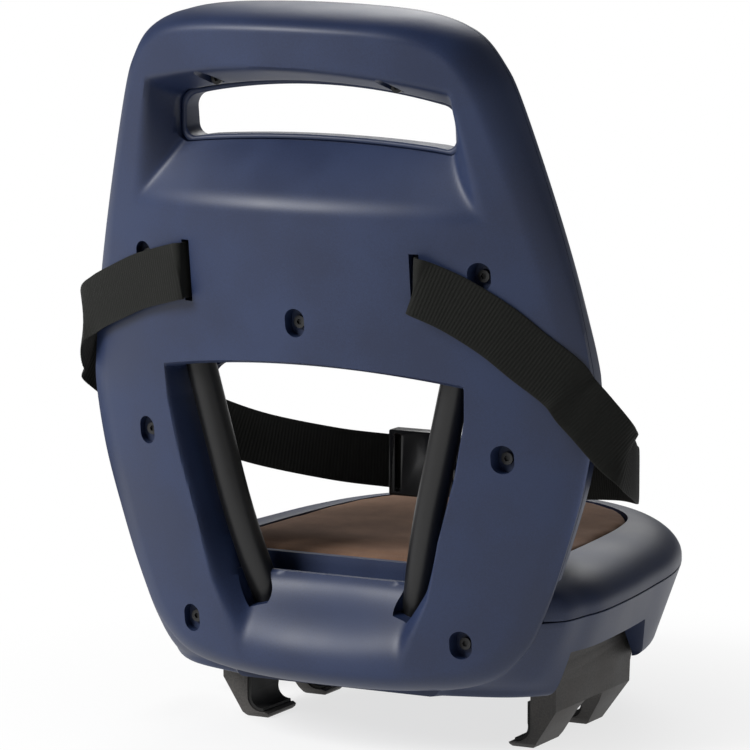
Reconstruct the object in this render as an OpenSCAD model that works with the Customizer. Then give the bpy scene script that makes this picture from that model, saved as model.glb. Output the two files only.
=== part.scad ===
// Rear child seat for a bicycle's luggage carrier.
// The origin lies on the ground, midway between the four carrier claws.
// X runs to the right seen from behind, Y runs forward, Z runs up.

/* [Backrest] */
// Height of the handle's top edge above the ground
back_top = 472.5; // [450:0.5:500]
// Half the width of the backrest at its widest
hip_x = 175.5; // [168:0.5:185]
// Height at which the backrest is widest
hip_z = 238; // [225:1:250]
// Half the width of the top edge up to its corner
shoulder_x = 97; // [90:0.5:102]
// Height of the backrest's lower edge
back_foot = 44; // [40:0.5:50]
// Place of the rear face on the centre line at the lower edge
back_foot_y = -150; // [-154:0.5:-147]
// Lean of the rear face
recline = 6.8; // [4:0.1:9]
// Radius of the rear face seen from above
back_r = 320; // [290:1:400]
// Radius of the front face seen from above
front_r = 900; // [700:10:1400]
// How far the front face stands before the parting line
front_rise = 4; // [3:0.5:8]
// Wall of the moulded shells
wall = 3; // [2.4:0.1:3.6]
// Width of the rounding round the backrest's edge
edge_round = 15; // [10:0.5:20]

/* [Handle] */
// Half the width of the grip hole
grip_x = 93.5; // [80:0.5:96]
// Height of the grip hole's lower edge at the middle
grip_low = 391; // [385:0.5:395]
// Height of the grip hole's upper edge at the middle
grip_high = 422; // [416:0.5:426]
// Depth of the recess round the grip hole, as a place along Y
grip_y = -146; // [-152:0.5:-143]
// Height of the recess's lower edge at the middle
recess_low = 345; // [338:0.5:355]
// Height of the recess's upper edge at the middle
recess_high = 437; // [434:0.5:441]

/* [Back opening] */
// Height of the opening's upper edge at the middle
open_high = 253; // [245:0.5:258]
// Height of the lower panel's top edge
panel_top = 113; // [105:0.5:118]
// Place of the lower panel's rear face at its top edge
panel_y = -123; // [-126:0.5:-121]

/* [Frame tube] */
// Outer diameter of the tube
tube_d = 19; // [16:0.5:20]
// Wall of the tube
tube_wall = 1.5; // [1:0.1:2.5]
// Lean of the uprights towards each other
tube_lean = 13.86; // [12:0.1:15]
// Height of the tube's legs under the seat
leg_z = 70; // [69:0.5:74]
// Half the distance between the legs
leg_x = 46.5; // [40:0.5:50]
// Radius of the bend at the foot of each upright
heel_r = 45; // [40:1:50]
// Height at which the uprights end in the backrest
tube_top = 290; // [280:1:294]

/* [Seat] */
// Height of the parting line between base and seat pan
rim_z = 95; // [92:0.5:100]
// Height of the cushion's edge
seat_z = 120; // [117:0.5:125]
// Half the seat's width at its widest
seat_x = 156; // [150:0.5:162]
// Front end of the seat
seat_front = 199; // [190:0.5:205]
// Half the width of the cushion at its rear end
cushion_x = 117; // [105:0.5:122]
// How far the base's sides draw in from the rim to the floor
base_taper = 17; // [10:0.5:22]
// Underside of the base
base_z = 43; // [41:0.5:46]
// Thickness of the cushion
cushion_t = 9; // [6:0.5:12]

/* [Carrier clamp] */
// Distance between the two rows of claw tips
claw_gap = 173; // [168:0.5:178]
// Length of a bracket along the carrier
bracket_l = 112; // [108:1:116]
// Place of a bracket's outer face
bracket_x = 119.4; // [117:0.1:122]
// Radius of the carrier tube that the claws hold
rail_r = 8; // [6:0.5:9]
// Height of the guide rods and the spindle
rod_z = 55; // [54:0.5:57]
// Diameter of the guide rods
rod_d = 6; // [5:0.5:8]
// Diameter of the spindle
spindle_d = 8; // [6:1:10]
// Diameter of the hand knob
knob_d = 56; // [48:1:58]
// Thickness of the hand knob
knob_t = 20; // [16:0.5:22]
// Distance that each bracket travels inwards
clamp_travel = 12; // [8:1:12]

/* [Belt] */
// Width of the webbing
belt_w = 35; // [30:0.5:36]
// Thickness of the webbing
belt_t = 1.8; // [1.4:0.1:2.4]
// Half the distance between the belt slots
slot_x = 79; // [74:0.5:82]

/* [Hidden] */

navy = "#2b3a5c";
brown = "#6e5340";
soft_black = "#1c1c1e";
dark_grey = "#3d3b38";
steel = "#a9adb2";

seam_y = -118;        // parting line of the backrest below the waist
waist_z = 250;        // above it the parting line leans back
seam_lean = 7.25;
fit = 0.3;            // free gap between pieces that only lie side by side
run = 0.1;            // radial running clearance
far = 400;            // longer than any cut

// General functions

function clamp01(t) = min(1, max(0, t));
function smooth(t) = let(u = clamp01(t)) u * u * (3 - 2 * u);
function mix(a, b, t) = a + (b - a) * t;
function steps(a, b, n) = [for (i = [0 : n - 1]) mix(a, b, i / n)];

// Smooth curve through points, n pieces between neighbours; it crosses the centre line squarely
function curve_point(a, b, c, d, t) =
    0.5 * (2 * b + (c - a) * t + (2 * a - 5 * b + 4 * c - d) * t * t
        + (3 * b - a - 3 * c + d) * t * t * t);
function beyond(p, q) = len(p) == 2 && p.x == 0 ? [-q.x, q.y] : p;
function curve(p, n) =
    let(k = len(p) - 1)
    [for (i = [0 : k - 1]) for (j = [0 : n - 1])
        curve_point(i == 0 ? beyond(p[0], p[1]) : p[i - 1], p[i], p[i + 1],
            i == k - 1 ? beyond(p[k], p[k - 1]) : p[i + 2], j / n),
     p[k]];

// Closed curve that starts on the centre line, followed by its mirror image
function both_sides(half) =
    concat(half, [for (i = [len(half) - 2 : -1 : 1]) [-half[i].x, half[i].y]]);

// Outline moved inwards by d; the outline runs clockwise
function inset(pts, d) =
    let(n = len(pts))
    [for (i = [0 : n - 1])
        let(t = pts[(i + 1) % n] - pts[(i + n - 1) % n], l = norm(t))
        pts[i] + d * [t.y, -t.x] / l];

function segment_distance(p, a, b) =
    let(ab = b - a, t = clamp01((p - a) * ab / (ab * ab)))
    norm(p - a - t * ab);
function outline_distance(p, pts) =
    min([for (i = [0 : len(pts) - 1]) segment_distance(p, pts[i], pts[(i + 1) % len(pts)])]);

// Value at z on a line of [value, z] points that rises in z
function along(pts, z, i = 0) =
    i >= len(pts) - 2 || z < pts[i + 1].y
        ? mix(pts[i].x, pts[i + 1].x, (z - pts[i].y) / (pts[i + 1].y - pts[i].y))
        : along(pts, z, i + 1);

// Form of the backrest

back_half = curve([
    [0, back_top], [0.55 * shoulder_x, back_top - 1.5], [shoulder_x - 11, back_top - 6],
    [shoulder_x + 11, back_top - 15.5], [shoulder_x + 25, back_top - 32],
    [shoulder_x + 36, back_top - 56], [mix(shoulder_x, hip_x, 0.72), mix(back_top, hip_z, 0.53)],
    [hip_x - 8, hip_z + 52], [hip_x, hip_z], [hip_x - 6, hip_z - 50],
    [hip_x - 20, hip_z - 99], [hip_x - 34, hip_z - 138], [hip_x - 48, hip_z - 164],
    [hip_x - 72, back_foot + 10.5], [60, back_foot + 2], [0, back_foot]], 3);
back_outline = both_sides(back_half);
back_inside = inset(back_outline, wall);

function seam(z) = seam_y - max(0, z - waist_z) * tan(seam_lean);
function rear_face(x, z) =
    back_foot_y - (z - back_foot) * tan(recline) + back_r - sqrt(back_r * back_r - x * x);
function edge_rise(x, z, w) =
    let(u = clamp01(outline_distance([x, z], back_outline) / w))
    sqrt(1 - (1 - u) * (1 - u));

// Recess and hole of the grip
function recess_side(z) = mix(grip_x + 31, grip_x + 9, (z - recess_low) / (recess_high - recess_low));
function recess_top(x) = recess_high - 9 * pow(x / grip_x, 2);
function recess_bottom(x) = recess_low - 4 * pow(x / (grip_x + 30), 2);
function grip_top(x) = grip_high - 11 * pow(x / grip_x, 2);
function grip_bottom(x) = grip_low - 5 * pow(x / grip_x, 2);
function grip_depth(x, z) =
    min((recess_side(z) - abs(x)) / (recess_side(z) - grip_x),
        (recess_top(x) - z) / (recess_top(x) - grip_top(x)),
        (z - recess_bottom(x)) / (grip_bottom(x) - recess_bottom(x)));
grip_half = concat(
    [for (x = [0 : 12 : grip_x - 14]) [x, grip_top(x)]],
    [for (a = [75 : -15 : 0]) [grip_x - 10 + 10 * cos(a), grip_top(grip_x) - 8 + 10 * sin(a)]],
    [for (a = [0 : -20 : -80]) [grip_x - 7 + 7 * cos(a), grip_bottom(grip_x) + 7 + 7 * sin(a)]],
    [for (x = [grip_x - 14 : -14 : 10]) [x, grip_bottom(x)]],
    [[0, grip_low]]);
grip_outline = both_sides(grip_half);

// Opening over the seat and the recessed panel below it
ridge = [[58, 60], [66, 84], [77, 109], [84.5, 145], [97, 187], [104, 222], [105, 260]];
function tube_x(z) = leg_x + (z - leg_z) * tan(tube_lean);
tube_room = tube_d / 2 + 1.2;
function hole_side(z) = tube_x(z) + tube_room;
function open_top(x) = open_high - 9 * pow(x / 100, 2);
function open_depth(x, z) =
    min((along(ridge, z) - abs(x)) / mix(20, along(ridge, z) - hole_side(z), smooth((z - 90) / 50)),
        (open_top(x) - z) / 5,
        (z - back_foot - 6) / 60);
function panel(x, z) =
    mix(rear_face(x, z), z > panel_top ? seam(z) : panel_y,
        smooth((z - back_foot) / (panel_top - back_foot)));
open_half = concat(
    [[0, open_high - 3]],
    [for (x = [15 : 15 : 60]) [x, open_top(x) - 3]],
    [for (a = [75 : -15 : 0]) [hole_side(226) - 18 + 18 * cos(a), 224 + 18 * sin(a)]],
    [for (z = [205 : -20 : panel_top + 10]) [hole_side(z), z]],
    [[hole_side(panel_top), panel_top], [0, panel_top]]);
open_outline = both_sides(open_half);

function rear_form(x, z) =
    let(face = rear_face(x, z),
        edge = mix(seam(z) - 2, face, edge_rise(x, z, edge_round)),
        opened = mix(edge, panel(x, z), smooth(open_depth(x, z))),
        v = clamp01(grip_depth(x, z)))
    v > 0 ? mix(opened, grip_y, v < 0.3 ? v * v / 0.51 : (v - 0.15) / 0.85) : opened;
function front_form(x, z) =
    mix(seam(z) + 2, seam(z) + front_rise + front_r - sqrt(front_r * front_r - x * x),
        edge_rise(x, z, edge_round));

// Fitted grid: its rows follow the top and foot of the outline, its ends the sides
top_at = 9;
foot_at = 36;
corner = back_half[top_at];
heel = back_half[foot_at];
side_up = [for (i = [foot_at : -1 : top_at]) back_half[i]];
top_run = [for (i = [0 : top_at]) [back_half[i].y, back_half[i].x]];
foot_run = [for (i = [len(back_half) - 1 : -1 : foot_at]) [back_half[i].y, back_half[i].x]];
hole_u = 0.5;
ridge_u = 0.6;
steady_u = 0.85;
function ridge_share(z) = along(ridge, min(z, open_high)) / along(side_up, min(z, open_high));
function hole_share(z) = hole_side(min(z, open_high)) / along(side_up, min(z, open_high));
function warp(u, z) =
    u < hole_u ? u / hole_u * hole_share(z)
    : u < ridge_u ? mix(hole_share(z), ridge_share(z), (u - hole_u) / (ridge_u - hole_u))
    : u < steady_u ? mix(ridge_share(z), steady_u, (u - ridge_u) / (steady_u - ridge_u)) : u;
function fitted_point(u, v, low) =
    let(z = mix(corner.y, low, v))
    [sign(u) * warp(abs(u), z) * along(side_up, z),
        z + (1 - v) * (along(top_run, abs(u) * corner.x) - corner.y)
            + (low == heel.y ? v * (along(foot_run, abs(u) * heel.x) - heel.y) : 0)];
edge_steps = [0, 0.07, 0.22, 0.42, 0.7, 1.05];
function both_ways(h) = concat([for (i = [len(h) - 1 : -1 : 1]) -h[i]], h);
across = both_ways(concat(steps(0, hole_u, 5), steps(hole_u, ridge_u, 4),
    steps(ridge_u, steady_u, 5), steps(steady_u, 1 - edge_round * 1.05 / hip_x, 1),
    [for (i = [5 : -1 : 0]) 1 - edge_round * edge_steps[i] / hip_x]));
function to_v(z) = (back_top - z) / (back_top - back_foot);
up_rows = concat(
    [for (e = edge_steps) 1 - e * edge_round / (back_top - back_foot)],
    [for (z = concat(steps(74, 120, 4), steps(120, 236, 7), steps(236, 262, 6), steps(262, 330, 4),
        steps(330, 444, 18))) to_v(z)],
    [for (i = [5 : -1 : 0]) edge_steps[i] * edge_round / (back_top - back_foot)]);
across_front = both_ways(concat(steps(0, 1 - edge_round * 1.05 / hip_x, 8),
    [for (i = [5 : -1 : 0]) 1 - edge_round * edge_steps[i] / hip_x]));
front_rows = concat(steps(1, 0.06, 16), [for (i = [5 : -1 : 0]) edge_steps[i] * 0.045]);
function fitted_grid(us, vs, low) = [for (u = us) [for (v = vs) fitted_point(u, v, low)]];

// Solid between the surface y = f(x, z) and the plane y = back; ahead turns it round
module behind(grid, f, back, ahead = false)
{
    nx = len(grid) - 1;
    nz = len(grid[0]) - 1;
    c = (nx + 1) * (nz + 1);
    function id(i, k) = i * (nz + 1) + k;
    rim = concat([for (i = [0 : nx - 1]) [i, 0]], [for (k = [0 : nz - 1]) [nx, k]],
        [for (i = [nx : -1 : 1]) [i, nz]], [for (k = [nz : -1 : 1]) [0, k]]);
    m = len(rim);
    faces = concat(
        [for (i = [0 : nx - 1]) for (k = [0 : nz - 1])
            each 2 * i >= nx
                ? [[id(i, k), id(i, k + 1), id(i + 1, k + 1)], [id(i, k), id(i + 1, k + 1), id(i + 1, k)]]
                : [[id(i, k), id(i, k + 1), id(i + 1, k)], [id(i, k + 1), id(i + 1, k + 1), id(i + 1, k)]]],
        [for (a = [0 : m - 1]) let(b = (a + 1) % m)
            [id(rim[a][0], rim[a][1]), id(rim[b][0], rim[b][1]), c + b, c + a]],
        [[for (a = [0 : m - 1]) c + a]]);
    polyhedron(
        points = concat([for (line = grid) for (p = line) [p.x, f(p.x, p.y), p.y]],
            [for (r = rim) let(p = grid[r[0]][r[1]]) [p.x, back, p.y]]),
        faces = ahead ? [for (f = faces) [for (i = [len(f) - 1 : -1 : 0]) f[i]]] : faces,
        convexity = 8);
}

// Solid between outline a at y0 and outline b at y1
module tunnel(a, b, y0, y1)
{
    n = len(a);
    polyhedron(
        points = concat([for (p = a) [p.x, y0, p.y]], [for (p = b) [p.x, y1, p.y]]),
        faces = concat(
            [[for (i = [0 : n - 1]) i]],
            [[for (i = [n - 1 : -1 : 0]) n + i]],
            [for (i = [0 : n - 1]) let(j = (i + 1) % n) each [[i, n + i, n + j], [i, n + j, j]]]),
        convexity = 4);
}

// Outline in the XZ plane made solid from y = y0 to y = y1
module along_y(pts, y0, y1)
{
    translate([0, y1, 0])
        rotate([90, 0, 0])
            linear_extrude(height = y1 - y0)
                polygon(pts);
}

// Outline in the YZ plane made solid from x = x0 to x = x1
module along_x(pts, x0, x1)
{
    translate([x0, 0, 0])
        rotate([90, 0, 90])
            linear_extrude(height = x1 - x0)
                polygon(pts);
}

module mirror_x()
{
    children();
    mirror([1, 0, 0])
        children();
}

module rod_x(d, x0, x1, y, z)
{
    translate([x0, y, z])
        rotate([0, 90, 0])
            cylinder(d = d, h = x1 - x0, $fn = 48);
}

module rod_y(d, y0, y1, x, z)
{
    translate([x, y0, z])
        rotate([-90, 0, 0])
            cylinder(d = d, h = y1 - y0, $fn = 48);
}

// All space behind the parting line of the backrest
module behind_seam(gap = 0)
{
    along_x([[-far, 0], [seam_y - gap, 0], [seam_y - gap, waist_z],
        [seam(back_top + 20) - gap, back_top + 20], [-far, back_top + 20]], -far, far);
}

// Fasteners and belt of the backrest

shell_screw_places = [[0, 279], [116.3, 312], [-116.3, 312], [124.2, 199], [-124.2, 199],
    [94.5, 81], [-94.5, 81], [62, 424.5], [-62, 424.5]];
pocket_w = 13.3;
pocket_h = 17.8;
pocket_deep = 9;
screw_d = 4;
head_d = 7.6;
head_h = 2.6;
function pocket_floor(p) = rear_form(p.x, p.y) + pocket_deep;

slot_w = 6;
slot_z = 306;
slot_h = belt_w + 3.5;
pin_d = 4;
function pin_y(x) = rear_face(x, slot_z) + 12;

module pocket(p)
{
    lift = (pocket_h - pocket_w) / 2;
    for (s = [-1, 1])
        rod_y(pocket_w, seam_y - 150, pocket_floor(p), p.x, p.y + s * lift);
    translate([p.x - pocket_w / 2, seam_y - 150, p.y - lift])
        cube([pocket_w, pocket_floor(p) - seam_y + 150, 2 * lift]);
}

// Stepped hole along an upright's axis; the tube stands in it
module upright_hole(d, z0, z1)
{
    translate([leg_x, 0, leg_z])
        rotate([0, tube_lean, 0])
            translate([0, upper_y, upper_z])
                rotate([upper_lean, 0, 0])
                    translate([0, 0, (z0 - leg_z) / cos(tube_lean) - upper_z])
                        cylinder(d = d, h = (z1 - z0) / cos(tube_lean), $fn = 32);
}

// The same where the long bend stands in the panel, at the given turn of the bend
module bend_hole(d, turn, l)
{
    translate([leg_x, 0, leg_z])
        rotate([0, tube_lean, 0])
            translate([0, long_mid.x - long_r * sin(turn), long_mid.y - long_r * cos(turn)])
                rotate([90 - turn, 0, 0])
                    cylinder(d = d, h = l, center = true, $fn = 32);
}

// Path of the bent tube, in the plane of one upright: heel, long bend, straight top
heel_turn = 72;
long_r = 300;
long_turn = 14.7;
heel_y = -75;
bend_play = 1.6;        // extra width of the straight hole round the long bend
upper_lean = 90 - heel_turn - long_turn;
heel_end = [heel_y - heel_r * sin(heel_turn), heel_r * (1 - cos(heel_turn))];
long_mid = heel_end + long_r * [sin(heel_turn), cos(heel_turn)];
upper_y = long_mid.x - long_r * sin(heel_turn + long_turn);
upper_z = long_mid.y - long_r * cos(heel_turn + long_turn);
upper_l = ((tube_top - leg_z) / cos(tube_lean) - upper_z) / cos(upper_lean);
leg_front = 58;

// Rings of the tube's right half from its top to the middle of the front bend:
// centre, and the two directions that span each ring
upright_up = [sin(tube_lean), 0, cos(tube_lean)];
upright_side = [cos(tube_lean), 0, -sin(tube_lean)];
function upright_ring(y, h, turn) =
    [[leg_x, y, leg_z] + h * upright_up, upright_side, -cos(turn) * upright_up - [0, sin(turn), 0]];
full_turn = heel_turn + long_turn;
half_rings = concat(
    [upright_ring(upper_y - upper_l * cos(full_turn), upper_z + upper_l * sin(full_turn), full_turn)],
    [for (a = steps(full_turn, heel_turn, 2))
        upright_ring(long_mid.x - long_r * sin(a), long_mid.y - long_r * cos(a), a)],
    [for (a = concat(steps(heel_turn, 0, 6), [0]))
        upright_ring(heel_y - heel_r * sin(a), heel_r * (1 - cos(a)), a)],
    [for (a = steps(0, 90, 5))
        [[leg_x * cos(a), leg_front + leg_x * sin(a), leg_z], [cos(a), sin(a), 0], [0, 0, -1]]]);
front_ring = [[0, leg_front + leg_x, leg_z], [0, 1, 0], [0, 0, -1]];
function flipped(v) = [-v.x, v.y, v.z];
tube_rings = concat(half_rings, [front_ring],
    [for (i = [len(half_rings) - 1 : -1 : 0]) [for (v = half_rings[i]) flipped(v)]]);

// Hollow tube that is swept through rings of n corners
module swept_tube(rings, r, bore, n)
{
    m = len(rings);
    function corners(radius) =
        [for (g = rings) for (k = [0 : n - 1])
            let(a = 360 * k / n) g[0] + radius * (cos(a) * g[1] + sin(a) * g[2])];
    function id(ring, k, inside) = (inside * m + ring) * n + k % n;
    polyhedron(
        points = concat(corners(r), corners(bore)),
        faces = concat(
            [for (i = [0 : m - 2]) for (k = [0 : n - 1]) each
                [[id(i, k, 0), id(i + 1, k, 0), id(i + 1, k + 1, 0)],
                [id(i, k, 0), id(i + 1, k + 1, 0), id(i, k + 1, 0)],
                [id(i, k, 1), id(i + 1, k + 1, 1), id(i + 1, k, 1)],
                [id(i, k, 1), id(i, k + 1, 1), id(i + 1, k + 1, 1)]]],
            [for (k = [0 : n - 1]) each
                [[id(0, k, 0), id(0, k + 1, 0), id(0, k + 1, 1), id(0, k, 1)],
                [id(m - 1, k, 0), id(m - 1, k, 1), id(m - 1, k + 1, 1), id(m - 1, k + 1, 0)]]]),
        convexity = 6);
}

// Seat base and seat pan

bracket_end = bracket_l / 2;
rod_y0 = bracket_end - 2.5;
ear_end = rod_y0 + 5.5;
spindle_z = rod_z - 3;
bay_x = bracket_x - 39.4 - clamp_travel;
bay_end = ear_end + 2;
bay_top = rod_z + 17;
floor_t = 6;            // floor of the base
bush_r = spindle_d / 2 + 2.5;
bush_wall = 2.5;
bush_flange = 2 * bush_r + 4;
saddle_y = [-42, 27];
saddle_l = 15;
saddle_w = 32;
post_places = [[95, 105], [-95, 105], [0, 138], [0, -76]];

back_low = [for (i = [len(back_half) - 1 : -1 : 0]) if (back_half[i].y < hip_z) back_half[i]];
function foot_x(z) = along(back_low, max(z, back_foot + 4));
function base_draw(z) = base_taper * (rim_z - z) / (rim_z - base_z);

// Plan of the base at height z, drawn in by d
function base_plan(z, d, rear = seam_y - 6) =
    let(w = seat_x - base_draw(z) - d, f = seat_front - base_draw(z) - d,
        k = w / seat_x, r = foot_x(z) - d, e = k * seat_front - f)
    both_sides(concat(
        curve([[0, f], [48 * k, f - 10], [90 * k, f - 35], [124 * k, f - 76], [142 * k, mix(f - 124, 76, 0.5)],
            [150.5 * k, 18], [154.5 * k, -24], [w, -62], [w - 3, -84],
            [mix(r, w, 0.62), -104], [r, max(seam_y, rear)]], 3),
        [[r - 5, rear], [0, rear]]));

// Stack of closed plans, each given as [points, z], all with as many points
module stack(rings)
{
    n = len(rings[0][0]);
    k = len(rings);
    polyhedron(
        points = [for (r = rings) for (p = r[0]) [p.x, p.y, r[1]]],
        faces = concat(
            [[for (i = [n - 1 : -1 : 0]) i]],
            [[for (i = [0 : n - 1]) (k - 1) * n + i]],
            [for (j = [0 : k - 2]) for (i = [0 : n - 1])
                let(a = j * n + i, b = j * n + (i + 1) % n)
                each [[a, b, b + n], [a, b + n, a + n]]]),
        convexity = 6);
}

module base_outside()
{
    stack([for (s = [[base_z, 6], [base_z + 1.5, 2.2], [base_z + 5, 0], [66, 0], [81, 0], [rim_z, 0]])
        [base_plan(s[0], s[1]), s[0]]]);
}

// Space between the two claws of a bracket and round it, grown by g
module bracket_bay(g)
{
    along_x([[-88 - g, 20], [-88 - g, bay_top + g], [28 + 0.6 * g, bay_top + g],
        [47 + g, base_z + 3], [47 + g, 20]], bracket_x - 16 - g, far);
    translate([bay_x - g, -bay_end - g, 20])
        cube([bracket_x + 4 - bay_x + 2 * g, 2 * (bay_end + g), bay_top + g - 20]);
}

module base_inside()
{
    difference()
    {
        stack([for (s = [[base_z + floor_t, wall + 3, 4], [base_z + floor_t + 4, wall, 4], [60, wall, 4], [70, wall, -4],
            [rim_z + 1, wall, -4]])
            [base_plan(s[0], s[1], seam_y + s[2]), s[0]]]);
        mirror_x()
            bracket_bay(2.5);
        for (p = post_places)
            translate([p.x, p.y, 0])
                cylinder(d = 13, h = rim_z - 3, $fn = 32);
        mirror_x()
            for (y = saddle_y)
                translate([leg_x - saddle_w / 2, y, 0])
                    cube([saddle_w, saddle_l, leg_z - tube_d / 2 - fit]);
        difference()
        {
            translate([-far, seam_y - 2, 0])
                cube([2 * far, wall + 2, rim_z + 10]);
            along_y(back_inside, seam_y - 3, seam_y + wall + 1);
        }
    }
}

// What stays solid round the grip and the opening, as half outlines at the rear and in front
grip_keep_y = grip_y + 4;
grip_keep_rear = both_sides([[0, 441], [108, 441], [198, 306], [0, 306]]);
grip_keep_front = both_sides([[0, 425], [grip_x + 4, 421], [grip_x + 9, 378], [0, 384]]);
open_keep = both_sides(concat([[0, open_high + 4], [111, open_high + 4]],
    [for (z = [224, 189, 147, 111, 86, 64]) [along(ridge, z) + 5, z]], [[64, 30], [0, 30]]));

module back_inside_space()
{
    difference()
    {
        intersection()
        {
            translate([0, back_foot_y + back_r / cos(recline), back_foot])
                rotate([recline, 0, 0])
                    translate([0, 0, -100])
                        cylinder(r = back_r - wall, h = 700, $fn = 240);
            along_y(inset(back_outline, 13), -far, seam_y + wall + 2);
        }
        tunnel(grip_keep_rear, grip_keep_front, -200, grip_keep_y);
        along_y(inset(grip_outline, -2 * wall), grip_keep_y - 1, 0);
        along_y(open_keep, -far, 0);
        for (p = shell_screw_places)
            rod_y(pocket_h + 2.5, -far, pocket_floor(p) + wall, p.x, p.y);
        mirror_x()
        {
            upright_hole(tube_d + 6, open_high - 20, tube_top + 4);
            for (z = [slot_z - slot_h / 2 - 4.5, slot_z + slot_h / 2 + 1])
                translate([slot_x - 9, -far, z])
                    cube([17, far + pin_y(slot_x) + 6, 3.5]);
        }
    }
    along_x([[-132, 64], [-138, 72], [-134, 80], [-127.5, 90], [-122, 98], [seam_y + 5, 98],
        [seam_y + 5, 56], [-122, 56]], -58, 58);
}

module rear_shell()
{
    color(navy)
        difference()
        {
            union()
            {
                intersection()
                {
                    behind(fitted_grid(across, up_rows, heel.y), function(x, z) rear_form(x, z), -60);
                    behind_seam();
                }
                base_outside();
            }
            back_inside_space();
            base_inside();
            along_y(inset(grip_outline, -wall - fit), -far, 0);
            along_y(open_outline, -far, seam_y + 30);
            for (p = shell_screw_places)
            {
                pocket(p);
                rod_y(screw_d + 0.4, -far, 0, p.x, p.y);
                rod_y(boss_d + 2 * fit, boss_back(p), 0, p.x, p.y);
            }
            mirror_x()
            {
                bracket_bay(0);
                upright_hole(tube_d + 2 * fit, panel_top - 5, tube_top + 0.5);
                bend_hole(tube_d + 2 * fit + bend_play, heel_turn + 2, 56);
                rod_x(bush_flange + 2 * fit, bay_x - 5, bay_x - bush_wall, 0, spindle_z);
                translate([slot_x - slot_w / 2, -far, slot_z - slot_h / 2])
                    cube([slot_w, far + rear_face(slot_x, slot_z) + 9, slot_h]);
                translate([slot_x - 2, pin_y(slot_x), slot_z - slot_h / 2 - 3])
                    cylinder(d = pin_d + 0.1, h = slot_h + 6, $fn = 32);
                for (y = [-rod_y0, rod_y0])
                    rod_x(rod_d + 0.1, 0, bay_x + 1, y, rod_z);
            }
            rod_x(2 * bush_r + 0.1, -bay_x - 1, bay_x + 1, 0, spindle_z);
            for (p = post_places)
                translate([p.x, p.y, 0])
                {
                    cylinder(d = head_d + 1, h = rim_z - 10, $fn = 32);
                    cylinder(d = screw_d + 0.4, h = rim_z, $fn = 32);
                }
            mirror_x()
                for (y = saddle_y)
                    for (s = [-1, 1])
                        translate([leg_x + s * saddle_screw_x, y + saddle_l / 2, base_z + wall + 2])
                            cylinder(d = saddle_screw_d + run, h = leg_z, $fn = 32);
        }
}

// Front of the backrest and the seat

boss_d = 10;
function boss_back(p) = pocket_floor(p) + wall;
front_low = seat_z + 2;

module front_space()
{
    behind(fitted_grid(across_front, front_rows, front_low), function(x, z) front_form(x, z), -170, true);
}

module above(z)
{
    translate([-far, -far, z])
        cube([2 * far, 2 * far, far]);
}

// Space inside the front shell: ahead of the parting line, a wall's thickness behind the dished face
module front_hollow()
{
    rim = 10;
    difference()
    {
        intersection()
        {
            union()
            {
                dished_slab(seam_y - 1, front_low + wall, waist_z);
                translate([0, seam_y, waist_z])
                    rotate([seam_lean, 0, 0])
                        translate([0, -seam_y, -waist_z])
                            dished_slab(seam_y - 1, waist_z - 4, back_top);
            }
            along_y(inset(back_outline, rim), -far, 0);
        }
        along_y(inset(grip_outline, -wall), -far, 0);
        along_y(inset(open_outline, -wall), -far, 0);
    }
}

module dished_slab(y, z0, z1)
{
    difference()
    {
        translate([-far, y, z0])
            cube([2 * far, 60, z1 - z0]);
        translate([0, seam_y + front_rise + front_r, z0 - 1])
            cylinder(r = front_r + wall, h = z1 - z0 + 2, $fn = 360);
    }
}

module front_shell()
{
    color(navy)
        difference()
        {
            union()
            {
                difference()
                {
                    front_space();
                    front_hollow();
                    behind_seam();
                }
                along_y(inset(grip_outline, -wall), grip_y, seam(grip_low) + 2);
                for (p = shell_screw_places)
                    if (p.y > front_low)
                        rod_y(boss_d, boss_back(p), front_form(p.x, p.y) - wall / 2, p.x, p.y);
            }
            along_y(grip_outline, -far, 0);
            along_y(open_outline, -far, 0);
            for (p = shell_screw_places)
                if (p.y > front_low)
                    rod_y(screw_d - 0.4, boss_back(p) - 1, boss_back(p) + 12, p.x, p.y);
        }
}

pan_back = seam_y + 2;
pan_notch = seam_y + 20;
pan_notch_x = 72;
inlay_z = seat_z - cushion_t;
pan_lip = rim_z + 4;
pan_floor = 6;          // thickness under the cushion

// Half plans of the pan: where it meets the base, and its inner edge round the cushion
pan_low = let(w = seat_x, f = seat_front, r = foot_x(rim_z))
    concat(curve([[0, f], [48, f - 10], [90, f - 35], [124, f - 76], [142, mix(f - 124, 76, 0.5)],
        [150.5, 18], [154.5, -24], [w, -62], [w - 3, -84], [mix(r, w, 0.62), -104], [r, pan_back]], 3),
        [[pan_notch_x, pan_back], [pan_notch_x, pan_notch], [0, pan_notch]]);
pan_high = let(w = cushion_x, f = seat_front - 33)
    concat(curve([[0, f], [40, f - 7], [72, f - 27], [93, f - 55], [w - 14, 72],
        [w - 8.5, 18], [w - 6, -24], [w - 2.5, -62], [w - 0.5, -84], [w, -104], [w, pan_back]], 3),
        [[pan_notch_x, pan_back], [pan_notch_x, pan_notch], [0, pan_notch]]);
function pan_plan(a) =
    both_sides([for (i = [0 : len(pan_low) - 1]) mix(pan_low[i], pan_high[i], 1 - cos(a))]);
function pan_z(a) = pan_lip + (seat_z - pan_lip) * sin(a);

module inlay(d, z0, z1)
{
    translate([0, 0, z0])
        linear_extrude(height = z1 - z0)
            polygon(inset(inlay_outline, d));
}
inlay_half = [for (p = pan_high) if (p.y > pan_notch + 4) p];
inlay_outline = both_sides(concat(inlay_half, [[cushion_x - 0.3, pan_notch + 4], [0, pan_notch + 4]]));

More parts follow.
